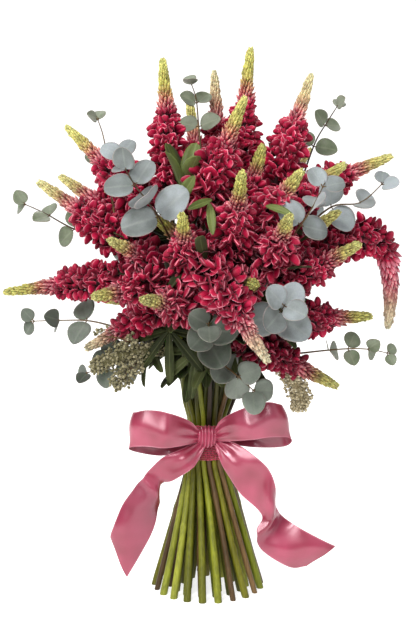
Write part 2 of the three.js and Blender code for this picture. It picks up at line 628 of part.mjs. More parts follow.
// A lupin leaf: one thin cone, cut between its leaflets almost to the hub and folded along each rib.
function palmateBlade({ hub, axis, leaflets, length, width, cone, shortest }, swing, grow) {
  const pole = vec(axis).normalize();
  const side = new THREE.Vector3(0.3, 1, 0.2).cross(pole).normalize()
    .applyAxisAngle(pole, THREE.MathUtils.degToRad(swing / 2));
  const step = (2 * Math.PI) / leaflets;
  const spread = THREE.MathUtils.degToRad(cone);
  const half = leaflet.thickness / 2 + grow;
  const ray = (turn) => {
    const out = side.clone().applyAxisAngle(pole, turn);
    const direction = pole.clone().multiplyScalar(Math.cos(spread)).addScaledVector(out, Math.sin(spread));
    const face = pole.clone().addScaledVector(direction, -pole.dot(direction)).normalize();
    return { direction, face, across: face.clone().cross(direction) };
  };
  const top = [vec(hub).addScaledVector(pole, half)];
  const under = [vec(hub).addScaledVector(pole, -half)];
  const put = ({ direction, face, across }, far, aside, raised) => {
    const at = vec(hub).addScaledVector(direction, far)
      .addScaledVector(across, aside).addScaledVector(face, raised);
    top.push(at.clone().addScaledVector(face, half));
    under.push(at.clone().addScaledVector(face, -half));
  };
  for (let k = 0; k < leaflets; k++) {
    const rib = ray(k * step);
    const long = length * (shortest + ((1 - shortest) * (1 - rib.direction.z)) / 2);
    put(ray((k - 0.5) * step), length * leaflet.notch + grow, 0, 0);
    put(rib, long * leaflet.widest, -(width / 2 + grow), width * leaflet.fold);
    put(rib, long + grow, 0, 0);
    put(rib, long * leaflet.widest, width / 2 + grow, width * leaflet.fold);
  }
  const points = [...top, ...under];
  const base = top.length;
  const rim = base - 1;
  const triangles = [];
  for (let i = 1; i <= rim; i += 4) {
    const [notch, left, tip, right, next] = [i, i + 1, i + 2, i + 3, ((i + 3) % rim) + 1];
    const faces = [[0, notch, next], [notch, tip, next], [notch, left, tip], [tip, right, next]];
    for (const [p, q, r] of faces) triangles.push([p, q, r], [base + p, base + r, base + q]);
    for (const [p, q] of [[notch, left], [left, tip], [tip, right], [right, next]]) {
      triangles.push([p, base + p, base + q], [p, base + q, q]);
    }
  }
  const made = solidOf(points, triangles);
  return made.volume() < 0 ? solidOf(points, triangles.map(([a, b, c]) => [a, c, b])) : made;
}

// ---- building --------------------------------------------------------------------------------

const bouquet = new THREE.Group();

function add(name, made, colour, roughness = 0.6) {
  const mesh = made.getMesh();
  const geometry = new THREE.BufferGeometry();
  geometry.setAttribute("position", new THREE.BufferAttribute(new Float32Array(mesh.vertProperties), 3));
  geometry.setIndex(new THREE.BufferAttribute(new Uint32Array(mesh.triVerts), 1));
  geometry.computeVertexNormals();
  const material = new THREE.MeshStandardMaterial({ color: colour, roughness, metalness: 0 });
  const part = new THREE.Mesh(geometry, material);
  part.name = name;
  bouquet.add(part);
}

const meets = (a, b) => {
  const [p, q] = [a.boundingBox(), b.boundingBox()];
  return [0, 1, 2].every((k) => p.min[k] < q.max[k] && q.min[k] < p.max[k]);
};
const clearOf = (made, rooms) =>
  rooms.filter((room) => meets(made, room)).reduce((left, room) => left.subtract(room), made);

function woundCord() {
  const { low, high, inner, wound, ridge, turns, sides } = binding;
  const profile = [new THREE.Vector2(inner, low)];
  for (let i = 0; i <= 2 * turns; i++) {
    const radius = inner + wound + (i % 2) * ridge;
    profile.push(new THREE.Vector2(radius, low + ((high - low) * i) / (2 * turns)));
  }
  profile.push(new THREE.Vector2(inner, high), profile[0].clone());
  return solid(new THREE.LatheGeometry(profile, sides).rotateX(Math.PI / 2));
}

const knotGeometry = (grow) => new THREE.SphereGeometry(1, 10, 7)
  .scale(...knot.half.map((half) => half + grow)).translate(...knot.centre);
const knotSolid = solid(knotGeometry(0));
const knotRoom = solid(knotGeometry(gap));

const bandRooms = [];
const bandSolids = bands.map(({ name, stations }) => {
  const made = largest(clearOf(band(stations, ribbonThickness), [knotRoom, ...bandRooms]));
  bandRooms.push(band(stations, ribbonThickness + 2 * gap));
  return { name, made };
});

function twigTube(route, grow = 0) {
  const path = new THREE.CatmullRomCurve3(route.map(vec)).getSpacedPoints(route.length);
  return tube(path, path.map((_, i) => twigShape.foot - twigShape.taper * i + grow), twigShape.sides);
}
const twigRooms = new Map([
  ...sprays.map(({ name, twigs }) => [name, twigs.map(({ route }) => twigTube(route, gap))]),
  ...seedHeads.map(({ name, routes }) => [name, routes.map((route) => twigTube(route, gap))]),
]);
const wood = [...sticks.map((stick) => stick.room), ...[...twigRooms.values()].flat()];

// Spikes: those nearest the front keep their full shape, and those behind are cut back to fit.
const headRooms = new Map();
const heads = new Map();
for (const lupin of [...spikes].sort((a, b) => a.tip[1] - b.tip[1])) {
  const whole = spikeSolid(spikeAxis(lupin), spike);
  heads.set(lupin.name, largest(clearOf(whole, [...headRooms.values(), ...wood])));
  headRooms.set(lupin.name, spikeRoom(lupin));
}

const foliageRooms = [];
const hard = [...headRooms.values(), knotRoom, ...bandRooms];

const isOwn = (name, room) => room === stickNamed(name).room || twigRooms.get(name)?.includes(room);
const othersWood = (name) => wood.filter((room) => !isOwn(name, room));

// What is left of a leaf beside everything that stands in its way.
function trimmed(make, others) {
  const keep = clearOf(make(0), [...hard, ...foliageRooms, ...others]);
  return { keep, room: make(gap) };
}

// Swings a leaf round its twig until it stands clear, or else to where the least of it is cut off.
function swungClear(make, others) {
  let best;
  for (const swing of swings) {
    const whole = make(swing, 0);
    const blocked = [...hard, ...foliageRooms, ...others].filter((room) => meets(whole, room))
      .reduce((sum, room) => sum + whole.intersect(room).volume(), 0);
    if (!best || blocked < best.blocked - 1) best = { swing, blocked };
    if (blocked === 0) break;
  }
  return trimmed((grow) => make(best.swing, grow), others);
}

function sprayNode({ name, twigs }) {
  const others = othersWood(name);
  const stem = stickNamed(name).solid;
  const ownTwigs = twigs.map(({ route }) => clearOf(twigTube(route), others));
  const leaves = [];
  for (const twig of twigs) {
    const curve = new THREE.CatmullRomCurve3(twig.route.map(vec));
    twig.pairs.forEach((_, k) => {
      for (const sign of [1, -1]) {
        const make = (swing, grow) => leafOnTwig(curve, twig, k, sign, swing, grow);
        leaves.push(swungClear(make, others));
      }
    });
  }
  foliageRooms.push(...leaves.map((piece) => piece.room));
  return largest(joined([stem, ...ownTwigs, ...leaves.map((piece) => piece.keep)]));
}

function seedHeadNode({ name, routes, from, shape }) {
  const others = othersWood(name);
  const blocked = [...hard, ...foliageRooms, ...others];
  const pieces = routes.flatMap((route) => {
    const curve = new THREE.CatmullRomCurve3(route.map(vec));
    const places = [0, 1, 2, 3, 4].map((i) => curve.getPointAt(from + ((1 - from) * i) / 4));
    const buds = clearOf(spikeSolid(new THREE.CatmullRomCurve3(places), shape), blocked);
    const radii = places.map((_, i) => along(shape.core, i / 4) + along(shape.reach, i / 4) + gap);
    foliageRooms.push(tube(places, radii, 6));
    return [clearOf(twigTube(route), others), buds];
  });
  return largest(joined([stickNamed(name).solid, ...pieces]));
}

function palmateLeaf(leaf) {
  const stick = stickNamed(leaf.on);
  const others = othersWood(leaf.on);
  const hub = vec(leaf.hub);
  const below = stick.rise.filter((point) => point.z < hub.z - stalk.drop);
  const from = below.reduce((a, b) => (b.distanceTo(hub) < a.distanceTo(hub) ? b : a), stick.rise[0]);
  const top = hub.clone().addScaledVector(vec(leaf.axis).normalize(), leaflet.thickness);
  const stalkTube = (grow) => tube([from, top], [stalk.foot + grow, stalk.top + grow], 4);
  const leaflets = swungClear((swing, grow) => palmateBlade(leaf, swing, grow), others);
  const pieces = [trimmed(stalkTube, others), leaflets];
  foliageRooms.push(...pieces.map((piece) => piece.room));
  return joined(pieces.map((piece) => piece.keep));
}

const sprayNodes = sprays.map((spray) => ({ ...spray, made: sprayNode(spray) }));
const seedNodes = seedHeads.map((seed) => ({ ...seed, made: seedHeadNode(seed) }));
const leafOn = new Map(palmateLeaves.map((leaf) => [leaf.on, palmateLeaf(leaf)]));

const lupinSticks = sticks.filter((stick) => stick.shape === lupinStem).sort((a, b) => a.angle - b.angle);
const stemGroups = [
  ...pressedGroups(lupinSticks.filter((stick) => stick.ring.tied < 10)),
  ...pressedGroups(lupinSticks.filter((stick) => stick.ring.tied > 10)),
];
stemGroups.forEach(({ stems, links }, i) => {
  const leaves = stems.filter(({ name }) => leafOn.has(name)).map(({ name }) => leafOn.get(name));
  const whole = joined([...stems.map((stick) => stick.solid), ...links, ...leaves]);
  add("lupin_stems_" + (i + 1), largest(whole), 0x7d8f3f);
});
spikes.forEach(({ name }) => add(name, heads.get(name), 0xb01a41));
sprayNodes.forEach(({ name, made, colour }) => add(name, made, colour));
seedNodes.forEach(({ name, made, colour }) => add(name, made, colour));
add("wound_cord", woundCord(), 0xa62b45);
add("bow_knot", knotSolid, 0xcf6a82, 0.35);
bandSolids.forEach(({ name, made }) => add(name, made, 0xcf6a82, 0.35));

// The origin is on the surface, under the middle of the whole bouquet.
const box = new THREE.Box3().setFromObject(bouquet);
bouquet.position.set(-(box.min.x + box.max.x) / 2, -(box.min.y + box.max.y) / 2, 0);

export default bouquet;
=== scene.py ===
import math
import random

import bpy
import numpy as np
from mathutils import Matrix, Vector


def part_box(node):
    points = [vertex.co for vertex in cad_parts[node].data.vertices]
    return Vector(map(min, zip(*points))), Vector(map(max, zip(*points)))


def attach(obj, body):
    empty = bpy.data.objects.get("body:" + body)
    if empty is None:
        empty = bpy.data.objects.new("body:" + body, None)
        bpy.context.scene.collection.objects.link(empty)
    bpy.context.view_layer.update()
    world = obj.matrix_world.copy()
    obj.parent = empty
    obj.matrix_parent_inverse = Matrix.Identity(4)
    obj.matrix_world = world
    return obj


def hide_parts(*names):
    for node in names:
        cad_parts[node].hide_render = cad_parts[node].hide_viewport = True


# Looks for a hand-tied bouquet of crimson lupins and eucalyptus with a satin bow.
# Points are in millimetres from the middle of the tie, Z up. placed() turns them into the frame's metres.
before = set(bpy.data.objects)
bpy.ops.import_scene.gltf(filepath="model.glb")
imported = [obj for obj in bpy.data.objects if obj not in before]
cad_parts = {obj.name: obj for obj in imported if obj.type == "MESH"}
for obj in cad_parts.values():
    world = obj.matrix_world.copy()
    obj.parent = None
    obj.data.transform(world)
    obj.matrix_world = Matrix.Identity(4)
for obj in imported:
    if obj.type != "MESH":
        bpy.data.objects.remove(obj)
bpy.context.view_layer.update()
tieLow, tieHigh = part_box("wound_cord")
tieAxis = np.array([(tieLow.x + tieHigh.x) / 2, (tieLow.y + tieHigh.y) / 2, 0])
fanCentre = 230  # height from which the stems' lean is measured
middle = Vector((0, 0, 330))
samples = 60  # points along a twig or a spike's axis


def placed(points):
    return np.asarray(points, float) / 1000 + tieAxis


def linear(hexColour):
    channels = [int(hexColour[i:i + 2], 16) / 255 for i in (1, 3, 5)]
    return [c / 12.92 if c <= 0.04045 else ((c + 0.055) / 1.055) ** 2.4 for c in channels] + [1]


def along(profile, place):
    return float(np.interp(place, [p for p, _ in profile], [v for _, v in profile]))


# A socket by its number, or the one of that name that the node's options leave in use.
def socketOf(sockets, name):
    if isinstance(name, int):
        return sockets[name]
    return next(socket for socket in sockets if socket.name == name and socket.enabled)


# The source is a socket, or a node whose first output in use is meant.
def join(tree, source, socket):
    if isinstance(source, bpy.types.Node):
        source = next(output for output in source.outputs if output.enabled)
    tree.links.new(source, socket)


# Settings are a node's options and the values of its sockets, and three more: stops are the places and hex
# colours of a ramp, size is a pattern's real size in mm, and span is a range's bounds before and after.
def addNode(tree, kind, settings=None, links=None):
    node = tree.nodes.new("ShaderNode" + kind)
    for name, value in (settings or {}).items():
        if name == "stops":
            ramp = node.color_ramp
            ramp.elements[0].position, ramp.elements[1].position = value[0][0], value[-1][0]
            for place, _ in value[1:-1]:
                ramp.elements.new(place)
            for element, (_, shade) in zip(ramp.elements, value):
                element.color = linear(shade)
        elif name == "size":
            node.inputs["Scale"].default_value = 1000 / value
        elif name == "span":
            for k, number in enumerate(value):
                node.inputs[k + 1].default_value = number
        elif isinstance(name, str) and hasattr(node, name):
            setattr(node, name, value)
        else:
            socketOf(node.inputs, name).default_value = value
    for name, source in (links or {}).items():
        join(tree, source, socketOf(node.inputs, name))
    return node


def newFinish(name, settings):
    material = bpy.data.materials.new(name)
    material.use_nodes = True
    tree = material.node_tree
    shader = tree.nodes["Principled BSDF"]
    for socket, value in settings.items():
        shader.inputs[socket].default_value = value
    return material, tree, shader, addNode(tree, "TexCoord").outputs["Object"]


# The four channels that addPoints() gives each point: place, edge, chance and kind. On petals an edge
# below 0.5 is painted shade.
def readTint(tree):
    tint = addNode(tree, "Attribute", {"attribute_name": "tint"})
    part = addNode(tree, "SeparateColor", {}, {"Color": tint})
    return [*part.outputs, tint.outputs["Alpha"]]


noiseSpan = (0.3, 0.7)  # where nearly all of a noise pattern's values lie


# Darkens or lightens a colour by each share in turn, and joins it to the shader with roughness from one
# pattern and bumps from others (pattern, strength, depth in mm).
def dress(tree, shader, colour, shares, dull, bumps):
    for source, span in shares:
        share = addNode(tree, "MapRange", {"span": span}, {"Value": source})
        colour = addNode(tree, "VectorMath", {"operation": "SCALE"}, {"Vector": colour, "Scale": share})
    rough = addNode(tree, "MapRange", {"span": (*noiseSpan, *dull[1])}, {"Value": dull[0]})
    below = {}
    for pattern, strength, depth in bumps:
        below = {"Normal": addNode(tree, "Bump", {"Strength": strength, "Distance": depth / 1000},
                                   {"Height": pattern, **below})}
    for name, source in {"Base Color": colour, "Roughness": rough, **below}.items():
        join(tree, source, shader.inputs[name])


# Lays colours over another where a channel is within a span: hex colour, channel, span.
def overlay(tree, colour, layers):
    for shade, channel, span in layers:
        share = addNode(tree, "MapRange", {"span": span}, {"Value": channel})
        colour = addNode(tree, "Mix", {"data_type": "RGBA", "B": linear(shade)},
                         {"Factor": share, "A": colour})
    return colour


def newShape():
    return {"points": [], "faces": [], "finish": [], "tint": [], "count": 0}


# Adds points with their tint (place, edge, chance, kind) and faces to a shape.
def addPoints(shape, points, faces, tint, finish=0):
    start = shape["count"]
    shape["points"].append(points)
    shape["tint"].append(np.broadcast_to(tint, (len(points), 4)))
    shape["faces"].extend([tuple(i + start for i in face) for face in faces])
    shape["finish"].extend([finish] * len(faces))
    shape["count"] += len(points)


def gridFaces(rows, columns, wrapped=False):
    faces = []
    for i in range(rows - 1):
        for j in range(columns if wrapped else columns - 1):
            k = (j + 1) % columns
            faces.append((i * columns + j, i * columns + k, (i + 1) * columns + k, (i + 1) * columns + j))
    return faces


def pathLength(line):
    return float(np.sum(np.linalg.norm(np.diff(line, axis=0), axis=1)))


def walkedAlong(line):
    return np.concatenate([[0], np.cumsum(np.linalg.norm(np.diff(line, axis=0), axis=1))])


def evenly(line, count):
    walked = walkedAlong(line)
    where = np.linspace(0, walked[-1], count)
    return np.stack([np.interp(where, walked, line[:, k]) for k in range(3)], axis=1)


# A smooth curve through the points (Catmull-Rom), with count points evenly along it.
def smoothLine(points, count):
    p = np.asarray(points, float)
    p = np.vstack([2 * p[0] - p[1], p, 2 * p[-1] - p[-2]])
    fine = []
    for i in range(1, len(p) - 2):
        for t in np.linspace(0, 1, 16, endpoint=i == len(p) - 3):
            fine.append(0.5 * (2 * p[i] + (p[i + 1] - p[i - 1]) * t
                               + (2 * p[i - 1] - 5 * p[i] + 4 * p[i + 1] - p[i + 2]) * t * t
                               + (3 * p[i] - p[i - 1] - 3 * p[i + 1] + p[i + 2]) * t ** 3))
    return evenly(np.array(fine), count)


# Both sides of a sheet, the lower one's points after the upper one's, and the faces of its long edges. These
# look the other way if turned.
def sheetFaces(rows, columns, turned=False):
    upper = gridFaces(rows, columns)
    count, right = rows * columns, columns - 1
    faces = upper + [tuple(count + k for k in face[::-1]) for face in upper]
    for i in range(rows - 1):
        a, b = i * columns, (i + 1) * columns
        if turned:
            a, b = b, a
        faces += [(a, b, count + b, count + a), (b + right, a + right, count + a + right, count + b + right)]
    return faces


# Direction of travel and two directions square to it at each point, carried along without twisting.
def framesAlong(line):
    runs = np.gradient(line, axis=0)
    runs /= np.linalg.norm(runs, axis=1)[:, None]
    side = np.array([1.0, 0, 0]) if abs(runs[0][0]) < 0.9 else np.array([0, 1.0, 0])
    sides = []
    for run in runs:
        side = side - run * side.dot(run)
        side /= np.linalg.norm(side)
        sides.append(side)
    sides = np.array(sides)
    return runs, sides, np.cross(runs, sides)


def addTube(shape, line, radii, sides, tint, finish=0, closed=True):
    _, one, two = framesAlong(line)
    turn = np.arange(sides) * 2 * math.pi / sides
    ring = np.cos(turn)[None, :, None] * one[:, None] + np.sin(turn)[None, :, None] * two[:, None]
    points = (line[:, None] + ring * np.asarray(radii)[:, None, None]).reshape(-1, 3)
    faces = gridFaces(len(line), sides, wrapped=True)
    if closed:
        faces += [tuple(range(sides))[::-1], tuple(range(len(points) - sides, len(points)))]
    addPoints(shape, points, faces, np.repeat(tint, sides, axis=0) if np.ndim(tint) == 2 else tint, finish)


def makePiece(name, shape, finishes, nodes, subdivide=0):
    mesh = bpy.data.meshes.new(name)
    mesh.from_pydata(placed(np.concatenate(shape["points"])), [], shape["faces"])
    mesh.polygons.foreach_set("material_index", shape["finish"])
    mesh.polygons.foreach_set("use_smooth", [True] * len(mesh.polygons))
    tint = mesh.attributes.new("tint", "FLOAT_COLOR", "POINT")
    tint.data.foreach_set("color", np.concatenate(shape["tint"]).astype(np.float32).ravel())
    mesh.update()
    piece = bpy.data.objects.new(name, mesh)
    bpy.context.scene.collection.objects.link(piece)
    for finish in finishes:
        mesh.materials.append(finish)
    if subdivide:
        piece.modifiers.new("smooth", "SUBSURF").levels = subdivide
    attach(piece, "root")
    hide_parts(*nodes)
    return piece


camera = {"from": (0, -1200, 435), "tilt": 84.2, "lens": 63.66, "sensor": 36, "near": 0.05, "far": 50}

scene = bpy.context.scene
scene.view_settings.view_transform = "Standard"
cameraData = bpy.data.cameras.new("camera")
cameraData.lens, cameraData.sensor_width = camera["lens"], camera["sensor"]
cameraData.clip_start, cameraData.clip_end = camera["near"], camera["far"]
cameraObject = bpy.data.objects.new("camera", cameraData)
cameraObject.location = placed(camera["from"])
cameraObject.rotation_euler = (math.radians(camera["tilt"]), 0, 0)
scene.collection.objects.link(cameraObject)
scene.camera = cameraObject

lamps = {  # soft boxes that all face the flowers: place, size in metres, power in watts
    "key": {"at": (-1300, -1500, 2200), "size": 1.1, "power": 62},
    "front": {"at": (-500, -2500, 1550), "size": 1.2, "power": 44},
    "fill": {"at": (1900, -1500, 1000), "size": 2.0, "power": 8},
    "back": {"at": (300, 1500, 1900), "size": 1.6, "power": 22},
}
lit = {"middle": (0, 0, 300), "world": 0.2}

for name, look in lamps.items():
    lampData = bpy.data.lights.new(name, "AREA")
    lampData.energy = look["power"]
    lampData.size = look["size"]
    lamp = bpy.data.objects.new(name, lampData)
    lamp.location = placed(look["at"])
    aim = Vector(placed(lit["middle"]) - placed(look["at"]))
    lamp.rotation_euler = aim.to_track_quat("-Z", "Y").to_euler()
    scene.collection.objects.link(lamp)

world = bpy.data.worlds.new("studio")
world.use_nodes = True
world.node_tree.nodes["Background"].inputs["Color"].default_value = (1, 1, 1, 1)
world.node_tree.nodes["Background"].inputs["Strength"].default_value = lit["world"]
scene.world = world

# Floor that curves up into a backdrop far behind. Its paper glows a little, so it stays pale in shadow.
sweep = {"half": 5000, "front": -3500, "bend": 2500, "radius": 1500, "top": 5000, "fibre": 10 / 3,
         "tones": [(0, "#cfcecb"), (1, "#d6d5d3")], "glow": 0.75}
profile = [(sweep["front"], 0), (0, 0), (sweep["bend"], 0)]
profile += [(sweep["bend"] + sweep["radius"] * math.sin(a), sweep["radius"] * (1 - math.cos(a)))
            for a in np.linspace(0.1, math.pi / 2, 16)]
profile += [(sweep["bend"] + sweep["radius"], sweep["top"])]
floorPoints = [(x, y, z) for y, z in profile for x in (-sweep["half"], sweep["half"])]
floorMesh = bpy.data.meshes.new("floor")
floorMesh.from_pydata(placed(floorPoints), [], [f[::-1] for f in gridFaces(len(profile), 2)])
floorMesh.polygons.foreach_set("use_smooth", [True] * len(floorMesh.polygons))
floor = bpy.data.objects.new("floor", floorMesh)
scene.collection.objects.link(floor)
paper, tree, shader, local = newFinish("matt backdrop paper", {
    "Roughness": 0.9, "Specular IOR Level": 0.2, "Emission Color": (1, 1, 1, 1),
    "Emission Strength": sweep["glow"]})
fibre = addNode(tree, "TexNoise", {"size": sweep["fibre"], "Detail": 3.0}, {"Vector": local})
join(tree, addNode(tree, "ValToRGB", {"stops": sweep["tones"]}, {"Fac": fibre}), shader.inputs["Base Color"])
floorMesh.materials.append(paper)
print("stage set")

# Lupin petal: thin and velvety, deep crimson with hair-thin pale rims, and painted shade makes it almost
# black down by the stalk. Buds are crimson at the root and pale at the point, and those of the tip are
# yellow-green or cream throughout.
petalLook = {
    "body": [(0, "#94042e"), (0.3, "#a60936"), (0.54, "#a5123a"), (0.65, "#9c2440"), (0.73, "#9c4a3e"),
             (0.79, "#94803e"), (0.85, "#a09a44"), (1, "#b4b05a")],
    "paleBody": [(0, "#94042e"), (0.3, "#a60936"), (0.56, "#a7153c"), (0.68, "#aa3a50"), (0.77, "#b07068"),
                 (0.84, "#bd9c80"), (1, "#cfc19c")],
    "rim": [(0, "#e87890"), (0.5, "#ec98a6"), (0.62, "#e8a0a2"), (0.7, "#e0ae8e"), (0.78, "#cfc474"),
            (0.86, "#cfcf62"), (1, "#dadc7c")],
    "paleRim": [(0, "#e87890"), (0.5, "#ec9cac"), (0.66, "#edb6b4"), (0.78, "#e8cdb2"), (1, "#efe8d0")],
    "vein": 1.3,  # mm between veins
    "patch": 9,  # mm across a paler or darker patch
}
petal, tree, shader, local = newFinish("lupin petal", {
    "IOR": 1.4, "Sheen Weight": 0.08, "Sheen Roughness": 0.4, "Subsurface Weight": 0.1,
    "Subsurface Radius": (0.003, 0.0006, 0.0006), "Subsurface Scale": 1.0, "Specular IOR Level": 0.3})
place, edge, chance, cream = readTint(tree)
patch = addNode(tree, "TexNoise", {"size": petalLook["patch"], "Detail": 2.0}, {"Vector": local})
vein = addNode(tree, "TexNoise", {"size": petalLook["vein"], "Detail": 2.0}, {"Vector": local})
ripe = addNode(tree, "Math", {"operation": "MULTIPLY_ADD", 1: 0.05}, {0: chance, 2: place})
ramps = [addNode(tree, "ValToRGB", {"stops": petalLook[name]}, {"Fac": ripe})
         for name in ("body", "paleBody", "rim", "paleRim")]
body, rim = [addNode(tree, "Mix", {"data_type": "RGBA"}, {"Factor": cream, "A": ramps[k], "B": ramps[k + 1]})
             for k in (0, 2)]
rimShare = addNode(tree, "MapRange", {"span": (0.55, 1, 0, 0.9)}, {"Value": edge})
rimmed = addNode(tree, "Mix", {"data_type": "RGBA"}, {"Factor": rimShare, "A": body, "B": rim})
# Painted shade: an edge below 0.5 darkens petals deep inside the spike; chance holds random tone plus painted
# shade low down and painted light high up.
dress(tree, shader, rimmed, [(edge, (0, 0.5, 0.12, 1)), (chance, (0, 1, 0.36, 1.26)),
                             (patch, (*noiseSpan, 0.82, 1.15)), (vein, (*noiseSpan, 0.86, 1.08))],
      (patch, (0.4, 0.58)), [(vein, 0.25, 0.4)])


# A leaf blade: colours of its face, its midrib and its rim, with how much these show, and how waxy it is.
def leafFinish(name, look):
    material, tree, shader, local = newFinish(name, {
        "IOR": 1.45, "Specular IOR Level": look["gloss"],
        "Sheen Weight": look["bloom"], "Sheen Roughness": 0.6, "Subsurface Weight": 0.08,
        "Subsurface Radius": (0.001, 0.002, 0.0008), "Subsurface Scale": 1.0})
    _, edge, chance, _ = readTint(tree)
    patch = addNode(tree, "TexNoise", {"size": look["patch"], "Detail": 4.0}, {"Vector": local})
    speck = addNode(tree, "TexNoise", {"size": 1.3, "Detail": 2.0}, {"Vector": local})
    mixed = addNode(tree, "Math", {"operation": "MULTIPLY_ADD", 1: 0.35}, {0: chance, 2: patch})
    face = addNode(tree, "ValToRGB", {"stops": look["face"]}, {"Fac": mixed})
    rib, rim = look["rib"], look["rim"]
    colour = overlay(tree, face, [(rib[0], edge, (0, 0.14, rib[1], 0)), (rim[0], edge, (0.9, 1, 0, rim[1]))])
    dress(tree, shader, colour, [(speck, (*noiseSpan, 0.92, 1.06))], (patch, look["rough"]),
          [(speck, 0.15, 0.3)])
    return material


# Silver-dollar eucalyptus: blue-grey under a chalky bloom that dulls every highlight.
silverLeaf = leafFinish("eucalyptus leaf with bloom", {
    "face": [(0.3, "#4c524e"), (0.58, "#6e7473"), (0.92, "#969da1")], "rib": ("#a0a69e", 0.2),
    "rim": ("#a58e88", 0.5), "patch": 26, "bloom": 0.25, "gloss": 0.35, "rough": (0.5, 0.65)})
# Leaves of the same kind from deeper in the bouquet, the same finish painted darker as shade.
shadedSilverLeaf = leafFinish("eucalyptus leaf in painted shade", {
    "face": [(0.3, "#2a3026"), (0.58, "#474e44"), (0.92, "#737a70")], "rib": ("#848a7c", 0.2),
    "rim": ("#8c7c72", 0.4), "patch": 26, "bloom": 0.2, "gloss": 0.35, "rough": (0.5, 0.65)})
# Older, greener leaves of thin sprays, with a slight wax gloss.
oliveLeaf = leafFinish("older eucalyptus leaf", {
    "face": [(0.3, "#465038"), (0.55, "#626a54"), (0.85, "#7e8472")], "rib": ("#9aa084", 0.25),
    "rim": ("#8c7468", 0.5), "patch": 16, "bloom": 0.2, "gloss": 0.35, "rough": (0.45, 0.6)})
# Lupin leaf: soft dark green, paler along each leaflet's rib.
lupinLeaf = leafFinish("lupin leaf", {
    "face": [(0.3, "#171b0b"), (0.55, "#262b13"), (0.85, "#3d4222")], "rib": ("#5c6140", 0.5),
    "rim": ("#5c683c", 0.3), "patch": 18, "bloom": 0.03, "gloss": 0.15, "rough": (0.5, 0.65)})
# A young leaf of the same plant, still light green.
freshLeaf = leafFinish("young lupin leaf", {
    "face": [(0.3, "#333e16"), (0.55, "#495422"), (0.85, "#626c38")], "rib": ("#7c8650", 0.5),
    "rim": ("#6c7a42", 0.3), "patch": 18, "bloom": 0.05, "gloss": 0.25, "rough": (0.45, 0.6)})


# A cut stem: fibres run along it, each stem has its own green or brown, the cut is pale and wet, and the
# upper part is painted darker as shade of the flowers.
def stemFinish(name, stops):
    material, tree, shader, local = newFinish(name, {"IOR": 1.45, "Specular IOR Level": 0.4})
    place, edge, chance, _ = readTint(tree)
    drawnOut = addNode(tree, "Mapping", {"Scale": [1000 / mm for mm in (1.5, 1.5, 40)]}, {"Vector": local})
    fibre = addNode(tree, "TexNoise", {"Scale": 1.0, "Detail": 3.0}, {"Vector": drawnOut})
    patch = addNode(tree, "TexNoise", {"size": 30, "Detail": 2.0}, {"Vector": local})
    tone = addNode(tree, "ValToRGB", {"stops": stops}, {"Fac": chance})
    colour = overlay(tree, tone, [("#c9cf9a", edge, (0, 1, 0, 1))])
    # painted shade: place darkens the upper part of each stem
    dress(tree, shader, colour, [(fibre, (*noiseSpan, 0.62, 1.08)), (patch, (0.35, 0.7, 0.78, 1.18)),
                                 (place, (0.48, 0.66, 1, 0.3))], (fibre, (0.38, 0.6)), [(fibre, 0.35, 0.5)])
    return material


# Juicy, slightly glossy lupin stems from lime to olive.
greenStem = stemFinish("lupin stem", [(0, "#3c3f08"), (0.2, "#6c6a10"), (0.4, "#505a0a"), (0.55, "#80841e"),
                                      (0.7, "#9ca03a"), (0.85, "#707c0c"), (1, "#70542a")])
# Eucalyptus wood: thin brown bark, redder in the young twigs.
woodyStem = stemFinish("eucalyptus twig", [(0, "#43311a"), (0.5, "#5e4626"), (1, "#745934")])

# Polyester satin: floats of glossy thread give a soft streak of light across every fold. Below a crease
# the colour is deeper: partly its reverse side showing and partly painted shade. The woven selvedge is a
# little paler.
satinLook = {"face": [(0.25, "#7a1a30"), (0.75, "#9e3450")], "selvedge": "#d4879a", "reverseAndShade": "#741a34",
             "crumple": 24, "thread": 0.5}  # real thread is 0.15 mm, too fine to show, so it is drawn coarser
satin, tree, shader, local = newFinish("satin ribbon", {
    "IOR": 1.5, "Anisotropic": 0.3, "Specular IOR Level": 1.0, "Specular Tint": linear("#ffc8d6"),
    "Sheen Weight": 0.1, "Sheen Roughness": 0.4, "Sheen Tint": linear("#ff9cb4"),
    "Coat Weight": 0.9, "Coat Roughness": 0.24, "Coat IOR": 1.5})
turned, edge, _, _ = readTint(tree)
crumple = addNode(tree, "TexNoise", {"size": satinLook["crumple"], "Detail": 1.0}, {"Vector": local})
thread = addNode(tree, "TexNoise", {"size": satinLook["thread"], "Detail": 1.0}, {"Vector": local})
tone = addNode(tree, "ValToRGB", {"stops": satinLook["face"]}, {"Fac": crumple})
# the darker colour laid where the first channel is set: partly the reverse side, partly painted shade
colour = overlay(tree, tone, [(satinLook["selvedge"], edge, (0.92, 1, 0, 0.35)),
                              (satinLook["reverseAndShade"], turned, (0, 1, 0, 1))])
dress(tree, shader, colour, [(thread, (*noiseSpan, 0.95, 1.04))], (crumple, (0.3, 0.36)),
      [(crumple, 0.22, 2.5), (thread, 0.06, 0.2)])

# Two-ply twine, dyed crimson, with fibres that fray a little.
twine, tree, shader, local = newFinish("crimson twine", {
    "IOR": 1.45, "Sheen Weight": 0.4, "Specular IOR Level": 0.3})
fuzz = addNode(tree, "TexNoise", {"size": 0.9, "Detail": 3.0}, {"Vector": local})
tone = addNode(tree, "ValToRGB", {"stops": [(0.3, "#7c1630"), (0.5, "#a4203f"), (0.72, "#c9566c")]},
               {"Fac": fuzz})
dress(tree, shader, tone, [], (fuzz, (0.55, 0.8)), [(fuzz, 0.5, 0.4)])


